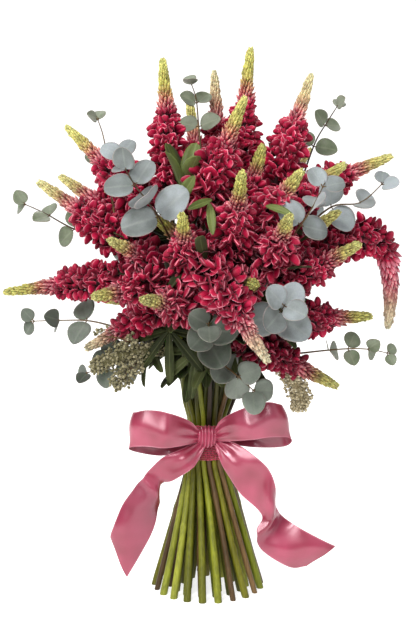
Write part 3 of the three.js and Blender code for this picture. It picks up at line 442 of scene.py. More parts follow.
# Small dry seed buds, matt and dusty.
def seedFinish(name, stops):
    material, tree, shader, local = newFinish(name, {
        "IOR": 1.4, "Sheen Weight": 0.2, "Specular IOR Level": 0.25})
    chance = readTint(tree)[2]
    speck = addNode(tree, "TexNoise", {"size": 1.5, "Detail": 3.0}, {"Vector": local})
    mixed = addNode(tree, "Math", {"operation": "MULTIPLY_ADD", 1: 0.5}, {0: chance, 2: speck})
    tone = addNode(tree, "ValToRGB", {"stops": stops}, {"Fac": mixed})
    dress(tree, shader, tone, [], (speck, (0.6, 0.85)), [(speck, 0.3, 0.4)])
    return material


oliveSeed = seedFinish("green seed bud", [(0.3, "#4e4b2c"), (0.7, "#6e6848"), (1, "#958d6e")])
creamSeed = seedFinish("dry seed bud", [(0.3, "#776a4c"), (0.7, "#9c8f6e"), (1, "#c8bd9f")])
print("finishes mixed")

# From the foot (0) to the tip (1) of a spike. Lengths are in mm, and lean is in degrees from the axis.
spike = {
    "core": [(0, 3.4), (0.3, 4.2), (0.5, 4.8), (0.65, 4.8), (0.8, 4.6), (0.92, 3.9), (0.98, 2.8), (1, 1.4)],
    # shade: radius of a dark core tube, painted shade that fills the gaps between the florets
    "shade": [(0, 5.5), (0.1, 8), (0.35, 8.5), (0.48, 6.8), (0.6, 4.9), (0.8, 4.4), (0.92, 3.7), (0.98, 2.7),
              (1, 1.3)],
    "floret": [(0, 12), (0.1, 13), (0.4, 12.8), (0.5, 11), (0.56, 9.5), (0.57, 12), (0.65, 9.8), (0.76, 7),
               (0.85, 5.2), (0.95, 4.2), (1, 3.6)],
    "stalk": [(0, 0.5), (0.1, 0.65), (0.34, 0.65), (0.56, 0.35)],
    "lean": [(0, 118), (0.1, 102), (0.26, 88), (0.42, 68), (0.56, 52), (0.57, 45), (0.65, 40), (0.74, 35),
             (0.85, 34), (0.95, 30), (1, 10)],
    "rowGap": [(0, 5.6), (0.4, 5.4), (0.56, 4.4), (0.57, 4.0), (0.66, 3.2), (0.76, 2.4), (0.88, 2.0),
               (1, 1.7)],
    "glow": [(0, 0.03), (0.55, 0.05), (0.75, 0.3), (1, 0.45)],  # from deep shade to as bright as the buds
    "margin": (1.5, 0.5),  # mm left free at the foot and at the tip
    "openUpTo": 0.565, "budsUpTo": 0.76,
    "around": (11, 12, 11), "loose": (1, 0.4, 0.4),  # of open florets, of buds and of the tip's buds
    "astray": {"turn": 0.2, "lean": 26, "twist": 1.1, "row": 2},  # at most, in radians, degrees, radians, mm
    "size": (0.72, 1.18), "growth": (0.9, 1.1),  # of one floret among the others, of one spike's florets
    "shadeByHeight": ([290, 500], [0, 0.36]),  # painted shade on the lower spikes and painted light on the higher ones: height, tone
    "fuller": {"lupin_13": (1.4, 1.45)},  # a drooping spike: how much larger its buds are, how late they pale
    "swollen": (0.5, 0.6),  # where a fuller spike's core thickens
}

# Foot and tip of each spike, how cream its tip is, and where the middle of a drooping one is drawn to.
lupins = [
    ("lupin_01", (-40, -15, 443), (-48, -20, 581), 0.1), ("lupin_02", (15, 41, 427), (7, 58, 576), 0.8),
    ("lupin_03", (31, -5, 448), (46, 0, 595), 0.1), ("lupin_04", (69, -4, 438), (112, 4, 567), 0.7),
    ("lupin_05", (-10, -52, 422), (37, -80, 535), 0.15), ("lupin_06", (-60, -1, 420), (-155, 10, 512), 0.2),
    ("lupin_07", (-76, -25, 379), (-182, -23, 452), 0.5), ("lupin_08", (-71, 47, 392), (-172, 75, 460), 0.4),
    ("lupin_09", (-79, -36, 351), (-220, -18, 333), 0.1), ("lupin_10", (86, 14, 433), (204, 26, 481), 0.25),
    ("lupin_11", (65, -36, 412), (145, -30, 470), 0.2), ("lupin_12", (48, -54, 362), (136, -60, 420), 0.2),
    ("lupin_13", (100, -22, 360), (196, -20, 295), 1.0, (212, -22, 452)),
    ("lupin_14", (72, -49, 305), (172, -58, 311), 0.1), ("lupin_15", (34, -58, 290), (135, -76, 239), 0.2),
    ("lupin_16", (-3, -123, 371), (56, -186, 282), 1.0), ("lupin_17", (-28, -67, 332), (-129, -53, 276), 0.9),
    ("lupin_18", (-45, -87, 346), (-113, -134, 338), 0.2),
    ("lupin_19", (-9, -88, 323), (-62, -180, 340), 0.25),
    ("lupin_20", (-34, -50, 356), (-100, -88, 392), 0.3), ("lupin_22", (9, -56, 366), (-54, -80, 414), 0.1),
    ("lupin_23", (-19, -90, 357), (-25, -160, 419), 0.1), ("lupin_24", (23, -82, 374), (33, -142, 459), 0.1),
    ("lupin_25", (32, -45, 400), (57, -54, 489), 0.1), ("lupin_26", (50, -69, 398), (92, -115, 461), 0.2),
    ("lupin_27", (63, -78, 365), (78, -158, 418), 0.2), ("lupin_28", (29, -62, 343), (46, -150, 352), 0.1),
    ("lupin_29", (75, -70, 343), (152, -107, 389), 0.2), ("lupin_31", (-5, 63, 412), (-22, 117, 550), 0.2),
    ("lupin_32", (-40, 71, 370), (-132, 140, 444), 0.3), ("lupin_33", (0, 79, 356), (-4, 190, 432), 0.1),
    ("lupin_34", (52, 72, 405), (123, 130, 492), 0.4), ("lupin_35", (38, 72, 345), (138, 140, 340), 0.1),
    ("lupin_36", (5, 66, 318), (9, 190, 292), 0.3), ("lupin_37", (-29, 72, 321), (-127, 140, 309), 0.2),
]


def spikeAxis(foot, tip, bend=None):
    a, c = np.array(foot, float), np.array(tip, float)
    b = np.array(bend, float) if bend else (a + c) / 2
    t = np.linspace(0, 1, 80)[:, None]
    return (1 - t) ** 2 * a + 2 * t * (1 - t) * b + t * t * c


# One open floret, a unit long: X out from the spike, Z up towards its tip. Two wings close into a plump
# purse, and the standard folds back behind them. glow is 1 on the pale rims and 0.5 on the face of a petal;
# below 0.5 it is painted shade, down to 0 deep inside by the stalk, under the purse and at the standard's
# foot.
def openFloret():
    points, glow = [], []
    turns = [math.radians(a) for a in (90, 68, -15, -90, 195, 112)]
    rings = (0, 0.14, 0.38, 0.65, 0.88, 1)
    for t in rings:  # the purse, a lens across with a sharp ridge on top where the wings meet
        swell = math.sin(math.pi * min(1, 0.05 + 0.93 * t ** 1.3)) ** 0.55
        wide, high = 0.015 + 0.17 * swell, 0.015 + 0.33 * swell
        lift = 0.05 * math.sin(math.pi * t) - 0.12 * t * t
        for turn in turns:
            top = math.sin(turn)
            points.append((t, wide * math.cos(turn), lift + high * top * (1.12 if top > 0.99 else 1)))
            ridge = 0.5 * t ** 0.5 if top > 0.99 else 0
            # painted shade: darker under the purse and towards its root deep in the spike
            glow.append(0.5 + ridge + 0.2 * t ** 6 - 0.22 * max(0, -top) - 0.45 * max(0, 1 - t / 0.52))
    faces = gridFaces(len(rings), len(turns), wrapped=True)
    start = len(points)
    rows, columns = (0, 0.45, 0.84, 1), (-1, -0.8, 0, 0.8, 1)
    for v in rows:  # the standard
        for u in columns:
            half = 0.55 * math.sin(math.pi * (0.12 + 0.70 * v)) ** 0.6
            reach = 0.14 + 0.52 * v - 0.12 * v * v
            points.append((reach - 0.26 * abs(u) ** 1.5 * v, u * half,
                           0.18 + 0.62 * v - 0.30 * abs(u) ** 1.7 * (0.3 + v) + 0.10 * abs(u) * v))
            # painted shade: the standard darkens towards its foot
            glow.append(0.1 + 0.46 * v + 0.44 * max(abs(u) ** 9, v ** 9))
    faces += [tuple(start + k for k in face) for face in gridFaces(len(rows), len(columns))]
    return np.array(points), faces, np.array(glow)


# A closed bud: slender, a little hooked and pale at its point, with painted shade that darkens its root.
def closedBud(rings, sides, fat, pale):
    points, glow = [], []
    for i in range(rings):
        t = i / (rings - 1)
        wide = 0.02 + fat * math.sin(math.pi * min(1, 0.05 + 0.95 * t ** 0.9)) ** 0.7
        for j in range(sides):
            turn = 2 * math.pi * j / sides
            points.append((t - 0.12, wide * math.cos(turn), 0.12 * t * t + wide * math.sin(turn)))
            # pale[0] is painted shade at the root, deep in the spike; pale[1] is the pale point
            glow.append(pale[0] + (pale[1] - pale[0]) * t ** 1.3)
    return np.array(points), gridFaces(rings, sides, wrapped=True), np.array(glow)


floretKinds = [openFloret(), closedBud(5, 4, 0.16, (0.12, 1.0)), closedBud(4, 5, 0.27, (0.3, 0.85))]


def addSpike(shape, axisLine, cream, rng, larger, late):
    length, last = pathLength(axisLine), samples - 1
    line = evenly(axisLine, samples)
    runs, one, two = framesAlong(line)
    rings = 20
    places = np.linspace(0, 1, rings)
    swollen = np.interp(places, spike["swollen"], [1, larger])
    # A dark core tube between the florets: painted shade, nearly black low down.
    addTube(shape, evenly(axisLine, rings), [along(spike["shade"], p) for p in places] * swollen, 8,
            np.column_stack([places ** late, [along(spike["glow"], p) for p in places], np.full(rings, 0.3),
                             np.full(rings, cream)]))
    travelled, row = spike["margin"][0], 0
    growth = rng.uniform(*spike["growth"])
    while travelled < length - spike["margin"][1]:
        place = travelled / length
        kind = 0 if place < spike["openUpTo"] else 1 if place < spike["budsUpTo"] else 2
        points, faces, glow = floretKinds[kind]
        at = min(int(place * last), last - 1)
        share = place * last - at
        origin = line[at] * (1 - share) + line[at + 1] * share
        run, side, other = runs[at], one[at], two[at]
        around = spike["around"][kind]
        astray = {name: reach * spike["loose"][kind] for name, reach in spike["astray"].items()}
        for k in range(around):
            turn = 2 * math.pi * (k + 0.5 * (row % 2)) / around + 0.35 * row
            turn += rng.uniform(-1, 1) * astray["turn"]
            radial = side * math.cos(turn) + other * math.sin(turn)
            lean = math.radians(along(spike["lean"], place) + rng.uniform(-1, 1) * astray["lean"])
            out = run * math.cos(lean) + radial * math.sin(lean)
            up = run * math.sin(lean) - radial * math.cos(lean)
            across = np.cross(up, out)
            twist = rng.uniform(-1, 1) * astray["twist"]
            up, across = (up * math.cos(twist) + across * math.sin(twist),
                          across * math.cos(twist) - up * math.sin(twist))
            size = along(spike["floret"], place) * rng.uniform(*spike["size"])
            size *= growth if kind == 0 else larger
            stalk = along(spike["stalk"], place) if kind == 0 else 0
            root = origin + radial * along(spike["core"], place) * 0.8 + out * size * stalk
            root = root + run * rng.uniform(-1, 1) * astray["row"]
            turned = root + size * (points[:, :1] * out + points[:, 1:2] * across + points[:, 2:3] * up)
            # random tone, plus painted shade on lower florets and painted light on higher ones, by height
            chance = 0.7 * rng.random() + np.interp(root[2], *spike["shadeByHeight"])
            tint = np.column_stack([np.full(len(points), place ** late), glow, np.full(len(points), chance),
                                    np.full(len(points), cream)])
            addPoints(shape, turned, faces, tint)
        travelled += along(spike["rowGap"], place)
        row += 1


for number, (name, foot, tip, cream, *bend) in enumerate(lupins):
    shape = newShape()
    addSpike(shape, spikeAxis(foot, tip, *bend), cream, random.Random(100 + number),
             *spike["fuller"].get(name, (1, 1)))
    makePiece(name.replace("lupin", "spike"), shape, [petal], [name])
print("lupin spikes grown")

# Each twig of a spray: its route, where its pairs of leaves stand, the first and last leaf's length, the
# first pair's turn round the twig and each later pair's further turn, and how far single leaves swing away
# from what they would touch. Most twigs are flat and their leaves face the front, the others' face outward.
# grey is the silver leaf finish painted darker as shade, for sprays deep in the bouquet.
silver, grey, olive = (silverLeaf, "silver_leaf"), (shadedSilverLeaf, "silver_leaf"), (oliveLeaf, "olive_leaf")
sprays = {
    "eucalyptus_01": (silver, [
        {"route": [(-34, -62, 381), (-50, -98, 416), (-78, -102, 455), (-88, -96, 480)],
         "pairs": (0.4, 0.55, 0.72, 0.84, 0.96), "leaf": (40, 22), "turn": 90, "step": 90}]),
    "eucalyptus_02": (olive, [
        {"route": [(-100, 25, 385), (-146, 5, 400), (-179, 2, 418), (-204, 5, 429)],
         "pairs": (0.45, 0.72, 0.96), "leaf": (26, 19), "turn": 70, "step": 60, "swing": {0: 18}},
        {"route": [(-100, 25, 385), (-112, 44, 455), (-117, 41, 500), (-125, 40, 526)],
         "pairs": (0.66, 0.96), "leaf": (24, 17), "turn": 80, "step": 60}]),
    "eucalyptus_03": (olive, [
        {"route": [(-4, 18, 455), (-10, 27, 510), (-13, 28, 543), (-19, 25, 562)],
         "pairs": (0.55, 0.78, 0.97), "leaf": (26, 18), "turn": 60, "step": 55}]),
    "eucalyptus_04": (olive, [
        {"route": [(100, 28, 440), (119, 34, 494), (133, 32, 519), (145, 30, 538)],
         "pairs": (0.5, 0.75, 0.97), "leaf": (26, 18), "turn": 60, "step": 50}]),
    "eucalyptus_05": (silver, [
        {"route": [(95, -48, 395), (130, -40, 425), (160, -50, 430), (184, -52, 451)],
         "pairs": (0.42, 0.7, 0.96), "leaf": (32, 20), "turn": 70, "step": 60, "swing": {0: -36, 1: 18}}]),
    "eucalyptus_06": (silver, [
        {"route": [(78, -98, 387), (100, -118, 420), (116, -112, 450)],
         "pairs": (0.35, 0.62, 0.93), "leaf": (30, 22), "turn": 80, "step": 90, "swing": {1: -36}}]),
    "eucalyptus_07": (grey, [
        {"route": [(-70, -20, 285), (-124, -14, 300), (-162, -10, 301), (-195, -10, 300)],
         "pairs": (0.5, 0.74, 0.97), "leaf": (30, 18), "turn": 70, "step": 60},
        {"route": [(-70, -20, 285), (-92, -48, 264), (-131, -56, 249)],
         "pairs": (0.45, 0.7, 0.95), "leaf": (28, 18), "turn": 60, "step": 60, "swing": {1: 18, 3: 18}}]),
    "eucalyptus_08": (grey, [
        {"route": [(2, -72, 272), (0, -118, 302), (1, -146, 314)],
         "pairs": (0.4, 0.66, 0.92), "leaf": (38, 26), "turn": 10, "step": 90,
         "flat": False, "swing": {1: -75, 2: -36, 3: 36, 4: 54, 5: -18}},
        {"route": [(2, -72, 272), (30, -84, 252), (50, -88, 234)],
         "pairs": (0.3, 0.6, 0.92), "leaf": (30, 28), "turn": 60, "step": 90, "swing": {0: -18}}]),
    "eucalyptus_09": (silver, [
        {"route": [(64, -74, 305), (72, -118, 322), (75, -144, 332)],
         "pairs": (0.4, 0.66, 0.92), "leaf": (38, 27), "turn": 45, "step": 90,
         "flat": False, "swing": {1: 54}}]),
    "eucalyptus_10": (olive, [
        {"route": [(78, -10, 262), (140, -32, 272), (172, -38, 273), (196, -38, 268)],
         "pairs": (0.45, 0.62, 0.79, 0.96), "leaf": (24, 15), "turn": 80, "step": 60}]),
    "eucalyptus_11": (silver, [
        {"route": [(-58, 62, 330), (-92, 112, 372), (-112, 146, 392)],
         "pairs": (0.5, 0.75, 0.96), "leaf": (34, 22), "turn": 25, "step": 90,
         "flat": False, "swing": {0: -75}},
        {"route": [(-58, 62, 330), (-50, 132, 330), (-56, 172, 340)],
         "pairs": (0.6, 0.95), "leaf": (34, 26), "turn": 60, "step": 90, "flat": False}]),
    "eucalyptus_12": (silver, [
        {"route": [(60, 62, 330), (100, 108, 392), (122, 140, 416)],
         "pairs": (0.5, 0.75, 0.96), "leaf": (34, 22), "turn": 55, "step": 90, "flat": False},
        {"route": [(60, 62, 330), (58, 132, 322), (64, 170, 318)],
         "pairs": (0.6, 0.95), "leaf": (34, 26), "turn": 20, "step": 90, "flat": False}]),
}
# Twigs that carry a cloud of small buds on hair-thin stalks: the twigs' routes, the place on them where the
# buds begin, how far these spread, how many there are in each mm, how large they are, and the tip of a spike
# that they leave free (ends of its axis as X and Z, radius).
seedHeads = {
    "seed_head_left": {
        "routes": [[(-30, -42, 270), (-64, -64, 276), (-98, -70, 268), (-122, -70, 256)],
                   [(-64, -64, 276), (-92, -78, 290), (-116, -80, 292)],
                   [(-64, -64, 276), (-82, -76, 256), (-98, -80, 240)]],
        "from": 0.2, "reach": [(0, 6), (0.3, 13), (0.75, 13), (1, 7)], "buds": 7.0, "size": (2.3, 3.8),
        "clear": ((-92, 297), (-131, 275), 9), "finish": oliveSeed, "slot": "olive_seed"},
    "seed_head_right": {
        "routes": [[(40, -36, 248), (76, -62, 256), (94, -62, 236), (98, -58, 212)]],
        "from": 0.4, "reach": [(0, 5), (0.3, 12), (0.8, 14), (1, 8)], "buds": 13.0, "size": (2.2, 3.7),
        "clear": None, "finish": creamSeed, "slot": "cream_seed"},
}

stem = {
    "rings": [(22, 20.8, 60), (16, 14.9, 43), (9, 9.1, 27), (3, 3.35, 10)],  # count, radius tied, radius cut
    "lupin": (4.2, 2.7, 2.5), "woody": (3.1, 2.74, 1.6),  # radius at the cut, in the tie and at the top
    "spiral": math.radians(24), "tieLow": 143, "tieHigh": 190, "points": 44, "sides": 12,
    "bow": 1.8,  # mm that a stem bends to a side below the tie
    "upward": 0.3, "outward": 0.12,  # how it leaves the tie, as shares of the way to its end
    "knots": ((40, 120), (60, 135)), "knot": (0.7, 2.5),  # their heights, and how far they swell and reach
    "rind": 0.8,  # radius of the pale pith in the cut
}
sticks = []
stickLines = [(name, spikeAxis(foot, tip, *bend), "lupin") for name, foot, tip, cream, *bend in lupins]
stickLines += [(name, smoothLine(twigs[0]["route"], samples), "woody") for name, (_, twigs) in sprays.items()]
stickLines += [(name, smoothLine(head["routes"][0], samples), "woody") for name, head in seedHeads.items()]
for name, line, kind in stickLines:
    x, y, z = line[0]
    sticks.append({"name": name, "end": line[0], "kind": kind, "bearing": math.atan2(y, x),
                   "heading": (line[1] - line[0]) / np.linalg.norm(line[1] - line[0]),
                   "lean": math.atan2(math.hypot(x, y), z - fanCentre)})

# The stems that lean most are in the outer ring of the tie, each ring in the order of their bearings.
waiting = sorted(sticks, key=lambda stick: -stick["lean"])
for count, tied, cut in stem["rings"]:
    members = sorted(waiting[:count], key=lambda stick: stick["bearing"])
    waiting = waiting[count:]
    offsets = [stick["bearing"] - i * 2 * math.pi / count for i, stick in enumerate(members)]
    start = math.atan2(sum(map(math.sin, offsets)), sum(map(math.cos, offsets)))
    for i, stick in enumerate(members):
        stick["angle"] = start + i * 2 * math.pi / count
        stick["tied"], stick["cut"] = tied, cut


def onRing(angle, radius, z):
    return np.array([radius * math.cos(angle), radius * math.sin(angle), z])


def stemLine(stick):
    angle, tied = stick["angle"], stick["tied"]
    cut = onRing(angle + stem["spiral"], stick["cut"], 0)
    low, start = onRing(angle, tied, stem["tieLow"]), onRing(angle, tied, stem["tieHigh"])
    reach = np.linalg.norm(stick["end"] - start)
    lift = start + np.array([0, 0, reach * stem["upward"]]) + onRing(angle, reach * stem["outward"], 0)
    arrive = stick["end"] - stick["heading"] * reach * stem["upward"]
    rise = [(1 - t) ** 3 * start + 3 * t * (1 - t) ** 2 * lift + 3 * t * t * (1 - t) * arrive
            + t ** 3 * stick["end"] for t in np.linspace(0, 1, 9)[1:]]
    bow = onRing(angle + math.pi / 2, random.Random(stick["name"]).uniform(-stem["bow"], stem["bow"]), 0)
    lower = [cut + (low - cut) * t + bow * math.sin(math.pi * t) for t in (0, 0.3, 0.6, 0.85)]
    return smoothLine(lower + [low, (low + start) / 2, start] + rise, stem["points"])


def addStem(shape, stick, finish):
    rng = random.Random(stick["name"])
    line, sides, last = stemLine(stick), stem["sides"], stem["points"] - 1
    cutR, tiedR, topR = stem[stick["kind"]]
    z = line[:, 2]
    tied = [np.argmax(z > stem["tieLow"]), np.argmax(z > stem["tieHigh"])]
    radii = np.interp(np.arange(len(z)), [0, *tied, last], [cutR, tiedR, tiedR, topR])
    for knot in [rng.uniform(*heights) for heights in stem["knots"]]:
        radii = radii + stem["knot"][0] * np.exp(-((z - knot) / stem["knot"][1]) ** 2)
    line[0, 2] = 0
    chance = rng.random()
    tint = np.array([[i / last, 0, chance, 0] for i in range(len(line))])
    addTube(shape, line, radii, sides, tint, finish, closed=False)
    first = shape["points"][-1][:sides]  # the ends are cut level where they stand
    first[:, 2] = 0.0
    centre = first.mean(axis=0)
    inner = centre + (first - centre) * stem["rind"]
    rind = gridFaces(2, sides, wrapped=True)
    addPoints(shape, np.vstack([first, inner]), rind, [0, 0.3, chance, 0], finish)
    addPoints(shape, inner, [tuple(range(sides))[::-1]], [0, 1, chance, 0], finish)


# A leaf blade with a folded rib, cupped edges and real thickness.
def addBlade(shape, root, run, normal, length, width, look, chance, finish):
    steps, columns = look["steps"], look["columns"]
    run = run / np.linalg.norm(run)
    across = np.cross(normal, run)
    across /= np.linalg.norm(across)
    face = np.cross(run, across)
    top, tint = [], []
    for i in range(steps + 1):
        theta = math.pi * i / steps
        u = (1 - math.cos(theta)) / 2
        half = width / 2 * math.sin(theta) ** look["round"] * (1 + look["taper"] * (0.5 - u))
        for j in range(columns):
            v = 2 * j / (columns - 1) - 1
            bow = (look["cup"] * half * abs(v) ** 1.6 + look["arch"] * length * (u * u)
                   + look["wave"] * length * math.sin(5 * u + chance * 6) * abs(v) * 0.1)
            top.append(root + run * length * u + across * half * v + face * bow)
            tint.append((u, abs(v), chance, 0))
    under = np.array(top) - face * look["thick"]
    addPoints(shape, np.vstack([top, under]), sheetFaces(steps + 1, columns), np.vstack([tint, tint]), finish)


roundLeaf = {"steps": 10, "columns": 9, "round": 0.85, "taper": 0.25, "cup": 0.16, "arch": -0.10,
             "wave": 0.25, "thick": 0.5}
pointedLeaf = {**roundLeaf, "round": 1.12, "cup": 0.22, "arch": -0.15}
leaflet = {"steps": 8, "columns": 5, "round": 0.9, "taper": -0.5, "cup": 0.35, "arch": -0.16, "wave": 0.1,
           "thick": 0.5}
youngLeaf = {**leaflet, "round": 1.25, "steps": 12, "taper": -0.2, "cup": 0.45}
pointedSprays = ["eucalyptus_02", "eucalyptus_03", "eucalyptus_04", "eucalyptus_07", "eucalyptus_10"]


def addSpray(shape, look, leafShape, rng):
    line = smoothLine(look["route"], samples)
    twig = smoothLine(look["route"], 24)
    addTube(shape, twig, np.linspace(1.3, 0.5, len(twig)), 6, [0.5, 0, rng.random(), 0], 1)
    runs, _, _ = framesAlong(line)
    front = Vector((-0.1, -1, 0.35)).normalized()
    for k, place in enumerate(look["pairs"]):
        at = min(samples - 1, int(round(place * (samples - 1))))
        run = Vector(runs[at])
        share = k / (len(look["pairs"]) - 1)
        for s, sign in enumerate((1, -1)):
            turn = look["turn"] + look["step"] * k + look.get("swing", {}).get(2 * k + s, 0)
            side = Vector((1, 0.2, 0.1)).cross(run).normalized()
            side.rotate(Matrix.Rotation(math.radians(turn), 3, run))
            length = (look["leaf"][0] + (look["leaf"][1] - look["leaf"][0]) * share) * rng.uniform(0.96, 1.04)
            spread = math.radians(72 - 22 * share + rng.uniform(-4, 4))
            direction = run * math.cos(spread) + side * sign * math.sin(spread)
            root = Vector(line[at]) + direction * 2.2
            normal = run * 0.3 + front if look.get("flat", True) else run + (root - middle).normalized()
            normal = (normal - direction * normal.dot(direction)).normalized()
            stalk = np.array([line[at], np.array(root), np.array(root + direction * 1.5)])
            addTube(shape, stalk, [0.7, 0.6, 0.6], 5, [0.5, 0, 0.5, 0], 1)
            addBlade(shape, np.array(root), np.array(direction), np.array(normal), length - 1.7, length * 0.9,
                     leafShape, rng.random(), 0)


for name, ((leaf, slot), twigs) in sprays.items():
    shape = newShape()
    rng = random.Random(name)
    addStem(shape, next(stick for stick in sticks if stick["name"] == name), 1)
    for look in twigs:
        addSpray(shape, look, pointedLeaf if name in pointedSprays else roundLeaf, rng)
    makePiece(name.replace("eucalyptus", "spray"), shape, [leaf, woodyStem], [name])
print("eucalyptus sprays grown")

# Lupin leaves: hub, axis, number of leaflets, their length and width, how far they spread from the axis, and
# how much shorter than a hanging leaflet one that rises is.
collarLeaf = {"leaflets": 8, "length": 50, "width": 10, "cone": 97, "shortest": 0.35, "swing": 0, "finish": 1}
palmateLeaves = {
    "lupin_05": {**collarLeaf, "hub": (-26, -42, 436), "axis": (0.1, -0.3, 0.95), "leaflets": 5, "length": 74,
                 "width": 19, "cone": 20, "shortest": 0.8, "swing": 36, "finish": 2},
    "lupin_17": {**collarLeaf, "hub": (-40, -74, 298), "axis": (-0.2, -0.9, 0.4), "leaflets": 9,
                 "length": 58},
    "lupin_09": {**collarLeaf, "hub": (-62, -38, 280), "axis": (-0.8, -0.4, 0.5)},
    "lupin_19": {**collarLeaf, "hub": (-12, -74, 276), "axis": (0, -0.86, 0.5), "swing": 36},
    "lupin_14": {**collarLeaf, "hub": (70, -16, 286), "axis": (0.86, -0.1, 0.5)},
    "lupin_35": {**collarLeaf, "hub": (58, 46, 286), "axis": (0.65, 0.55, 0.5)},
    "lupin_36": {**collarLeaf, "hub": (4, 74, 280), "axis": (0, 0.86, 0.5)},
    "lupin_37": {**collarLeaf, "hub": (-56, 48, 286), "axis": (-0.65, 0.55, 0.5)},
}


def addPalmate(shape, leaf, line, rng):
    pole = Vector(leaf["axis"]).normalized()
    hub = Vector(leaf["hub"])
    below = line[line[:, 2] < hub.z - 8]
    nearest = below[np.argmin(np.linalg.norm(below - np.array(hub), axis=1))]
    bend = (nearest + np.array(hub)) / 2 + np.array([0, 0, -4])
    stalk = smoothLine([nearest, bend, np.array(hub)], 10)
    addTube(shape, stalk, np.linspace(1.6, 1.2, len(stalk)), 6, [0.5, 0, 0.6, 0], 0)
    side = Vector((0.3, 1, 0.2)).cross(pole).normalized()
    side.rotate(Matrix.Rotation(math.radians(leaf["swing"] / 2), 3, pole))
    spread = math.radians(leaf["cone"])
    for k in range(leaf["leaflets"]):
        out = side.copy()
        out.rotate(Matrix.Rotation(2 * math.pi * k / leaf["leaflets"], 3, pole))
        direction = pole * math.cos(spread) + out * math.sin(spread)
        normal = (pole - direction * pole.dot(direction)).normalized()
        length = leaf["length"] * (leaf["shortest"] + (1 - leaf["shortest"]) * (1 - direction.z) / 2)
        length *= rng.uniform(0.96, 1.04)
        addBlade(shape, np.array(hub), np.array(direction), np.array(normal), length, leaf["width"], leaflet,
                 rng.random(), leaf["finish"])


# Young leaves that show between the spikes: root, tip, width.
youngLeaves = [((4, -112, 433), (-18, -128, 426), 8), ((1, -108, 430), (5, -129, 402), 9),
               ((57, -112, 427), (81, -134, 421), 8), ((-31, -86, 429), (-15, -98, 456), 13)]
# Small dark leaves on the upper part of the stems: how many, on which height of the outer stems or of all,
# their length and width, and how steeply they rise. They close the space between larger leaves and spikes.
stemLeaves = [
    {"count": 28, "outer": True, "height": (250, 284), "length": (34, 50), "width": (10, 13),
     "rise": (-1.3, -0.1)},
    {"count": 170, "outer": False, "height": (285, 410), "length": (34, 56), "width": (11, 18),
     "rise": (-0.4, 1.4)},
]


def addStemLeaves(shape, rng):
    outer = [stick for stick in sticks if stick["tied"] == stem["rings"][0][1]]
    for look in stemLeaves:
        for k in range(look["count"]):
            line = stemLine(outer[k % len(outer)] if look["outer"] else rng.choice(sticks))
            spots = line[(line[:, 2] > look["height"][0]) & (line[:, 2] < look["height"][1])]
            if len(spots) == 0:
                continue
            root = spots[rng.randrange(len(spots))]
            bearing = math.atan2(root[1], root[0]) + rng.uniform(-0.6, 0.6)
            direction = onRing(bearing, 1, rng.uniform(*look["rise"]))
            direction /= np.linalg.norm(direction)
            normal = np.array([rng.uniform(-0.4, 0.4), rng.uniform(-0.4, 0.4), 1]) - direction * 0.3
            addBlade(shape, root, direction, normal - direction * normal.dot(direction),
                     rng.uniform(*look["length"]), rng.uniform(*look["width"]), leaflet, rng.random(), 1)
    for root, tip, width in youngLeaves:
        root, tip = np.array(root, float), np.array(tip, float)
        length = np.linalg.norm(tip - root)
        direction = (tip - root) / length
        normal = np.array([0.1, -1, 0.4])
        addBlade(shape, root, direction, normal - direction * normal.dot(direction), length, width, youngLeaf,
                 rng.random(), 2)


# The stems in three nodes: the inner rings, the outer ones, and those of the right, the back and the left.
stemNodes = {
    "lupin_stems_1": [],
    "lupin_stems_3": ["lupin_10", "lupin_29", "lupin_14", "lupin_13", "lupin_34", "lupin_35", "lupin_33",
                      "lupin_32", "lupin_08", "lupin_36", "lupin_37", "lupin_09"],
    "lupin_stems_2": [],
}
for stick in sticks:
    if stick["kind"] == "lupin" and stick["name"] not in stemNodes["lupin_stems_3"]:
        stemNodes["lupin_stems_1" if stick["tied"] < 10 else "lupin_stems_2"].append(stick["name"])

for node, names in stemNodes.items():
    shape = newShape()
    for stick in sticks:
        if stick["name"] not in names:
            continue
        addStem(shape, stick, 0)
        if stick["name"] in palmateLeaves:
            addPalmate(shape, palmateLeaves[stick["name"]], stemLine(stick), random.Random(stick["name"]))
    if node == "lupin_stems_2":
        addStemLeaves(shape, random.Random(5))
    makePiece(node.replace("lupin_stems", "stem_bundle"), shape, [greenStem, lupinLeaf, freshLeaf], [node])
print("stems bundled")


# A small round bud on its own stalk.
def addBud(shape, root, centre, size, chance):
    run = (centre - root) / np.linalg.norm(centre - root)
    addTube(shape, np.array([root, centre]), [0.3, 0.25], 3, [0.5, 0.5, chance, 0], 0, closed=False)
    line = np.array([centre + run * size * k for k in (-0.5, -0.2, 0.3, 0.5)])
    radii = [size * k for k in (0.1, 0.47, 0.42, 0.04)]
    addTube(shape, line, radii, 5, [0.5, 0.5, chance, 0], 0, closed=False)


# Whether a bud would hide the spike's tip that the seed head leaves free.
def besideTip(centre, start, end, radius):
    start, end, spot = np.array(start), np.array(end), centre[[0, 2]]
    share = np.clip((spot - start).dot(end - start) / (end - start).dot(end - start), 0, 1)
    return np.linalg.norm(spot - start - share * (end - start)) < radius and centre[1] < -50


# A random place on the part of a twig from start on, and a direction away from the twig there.
def pickSpot(rng, start, frames, upTo, forward):
    runs, one, two = frames
    place = rng.uniform(0, upTo)
    at = int((start + (1 - start) * place) * (samples - 1))
    turn = rng.uniform(0, 2 * math.pi)
    out = one[at] * math.cos(turn) + two[at] * math.sin(turn) + runs[at] * rng.uniform(*forward)
    return place, at, out / np.linalg.norm(out)


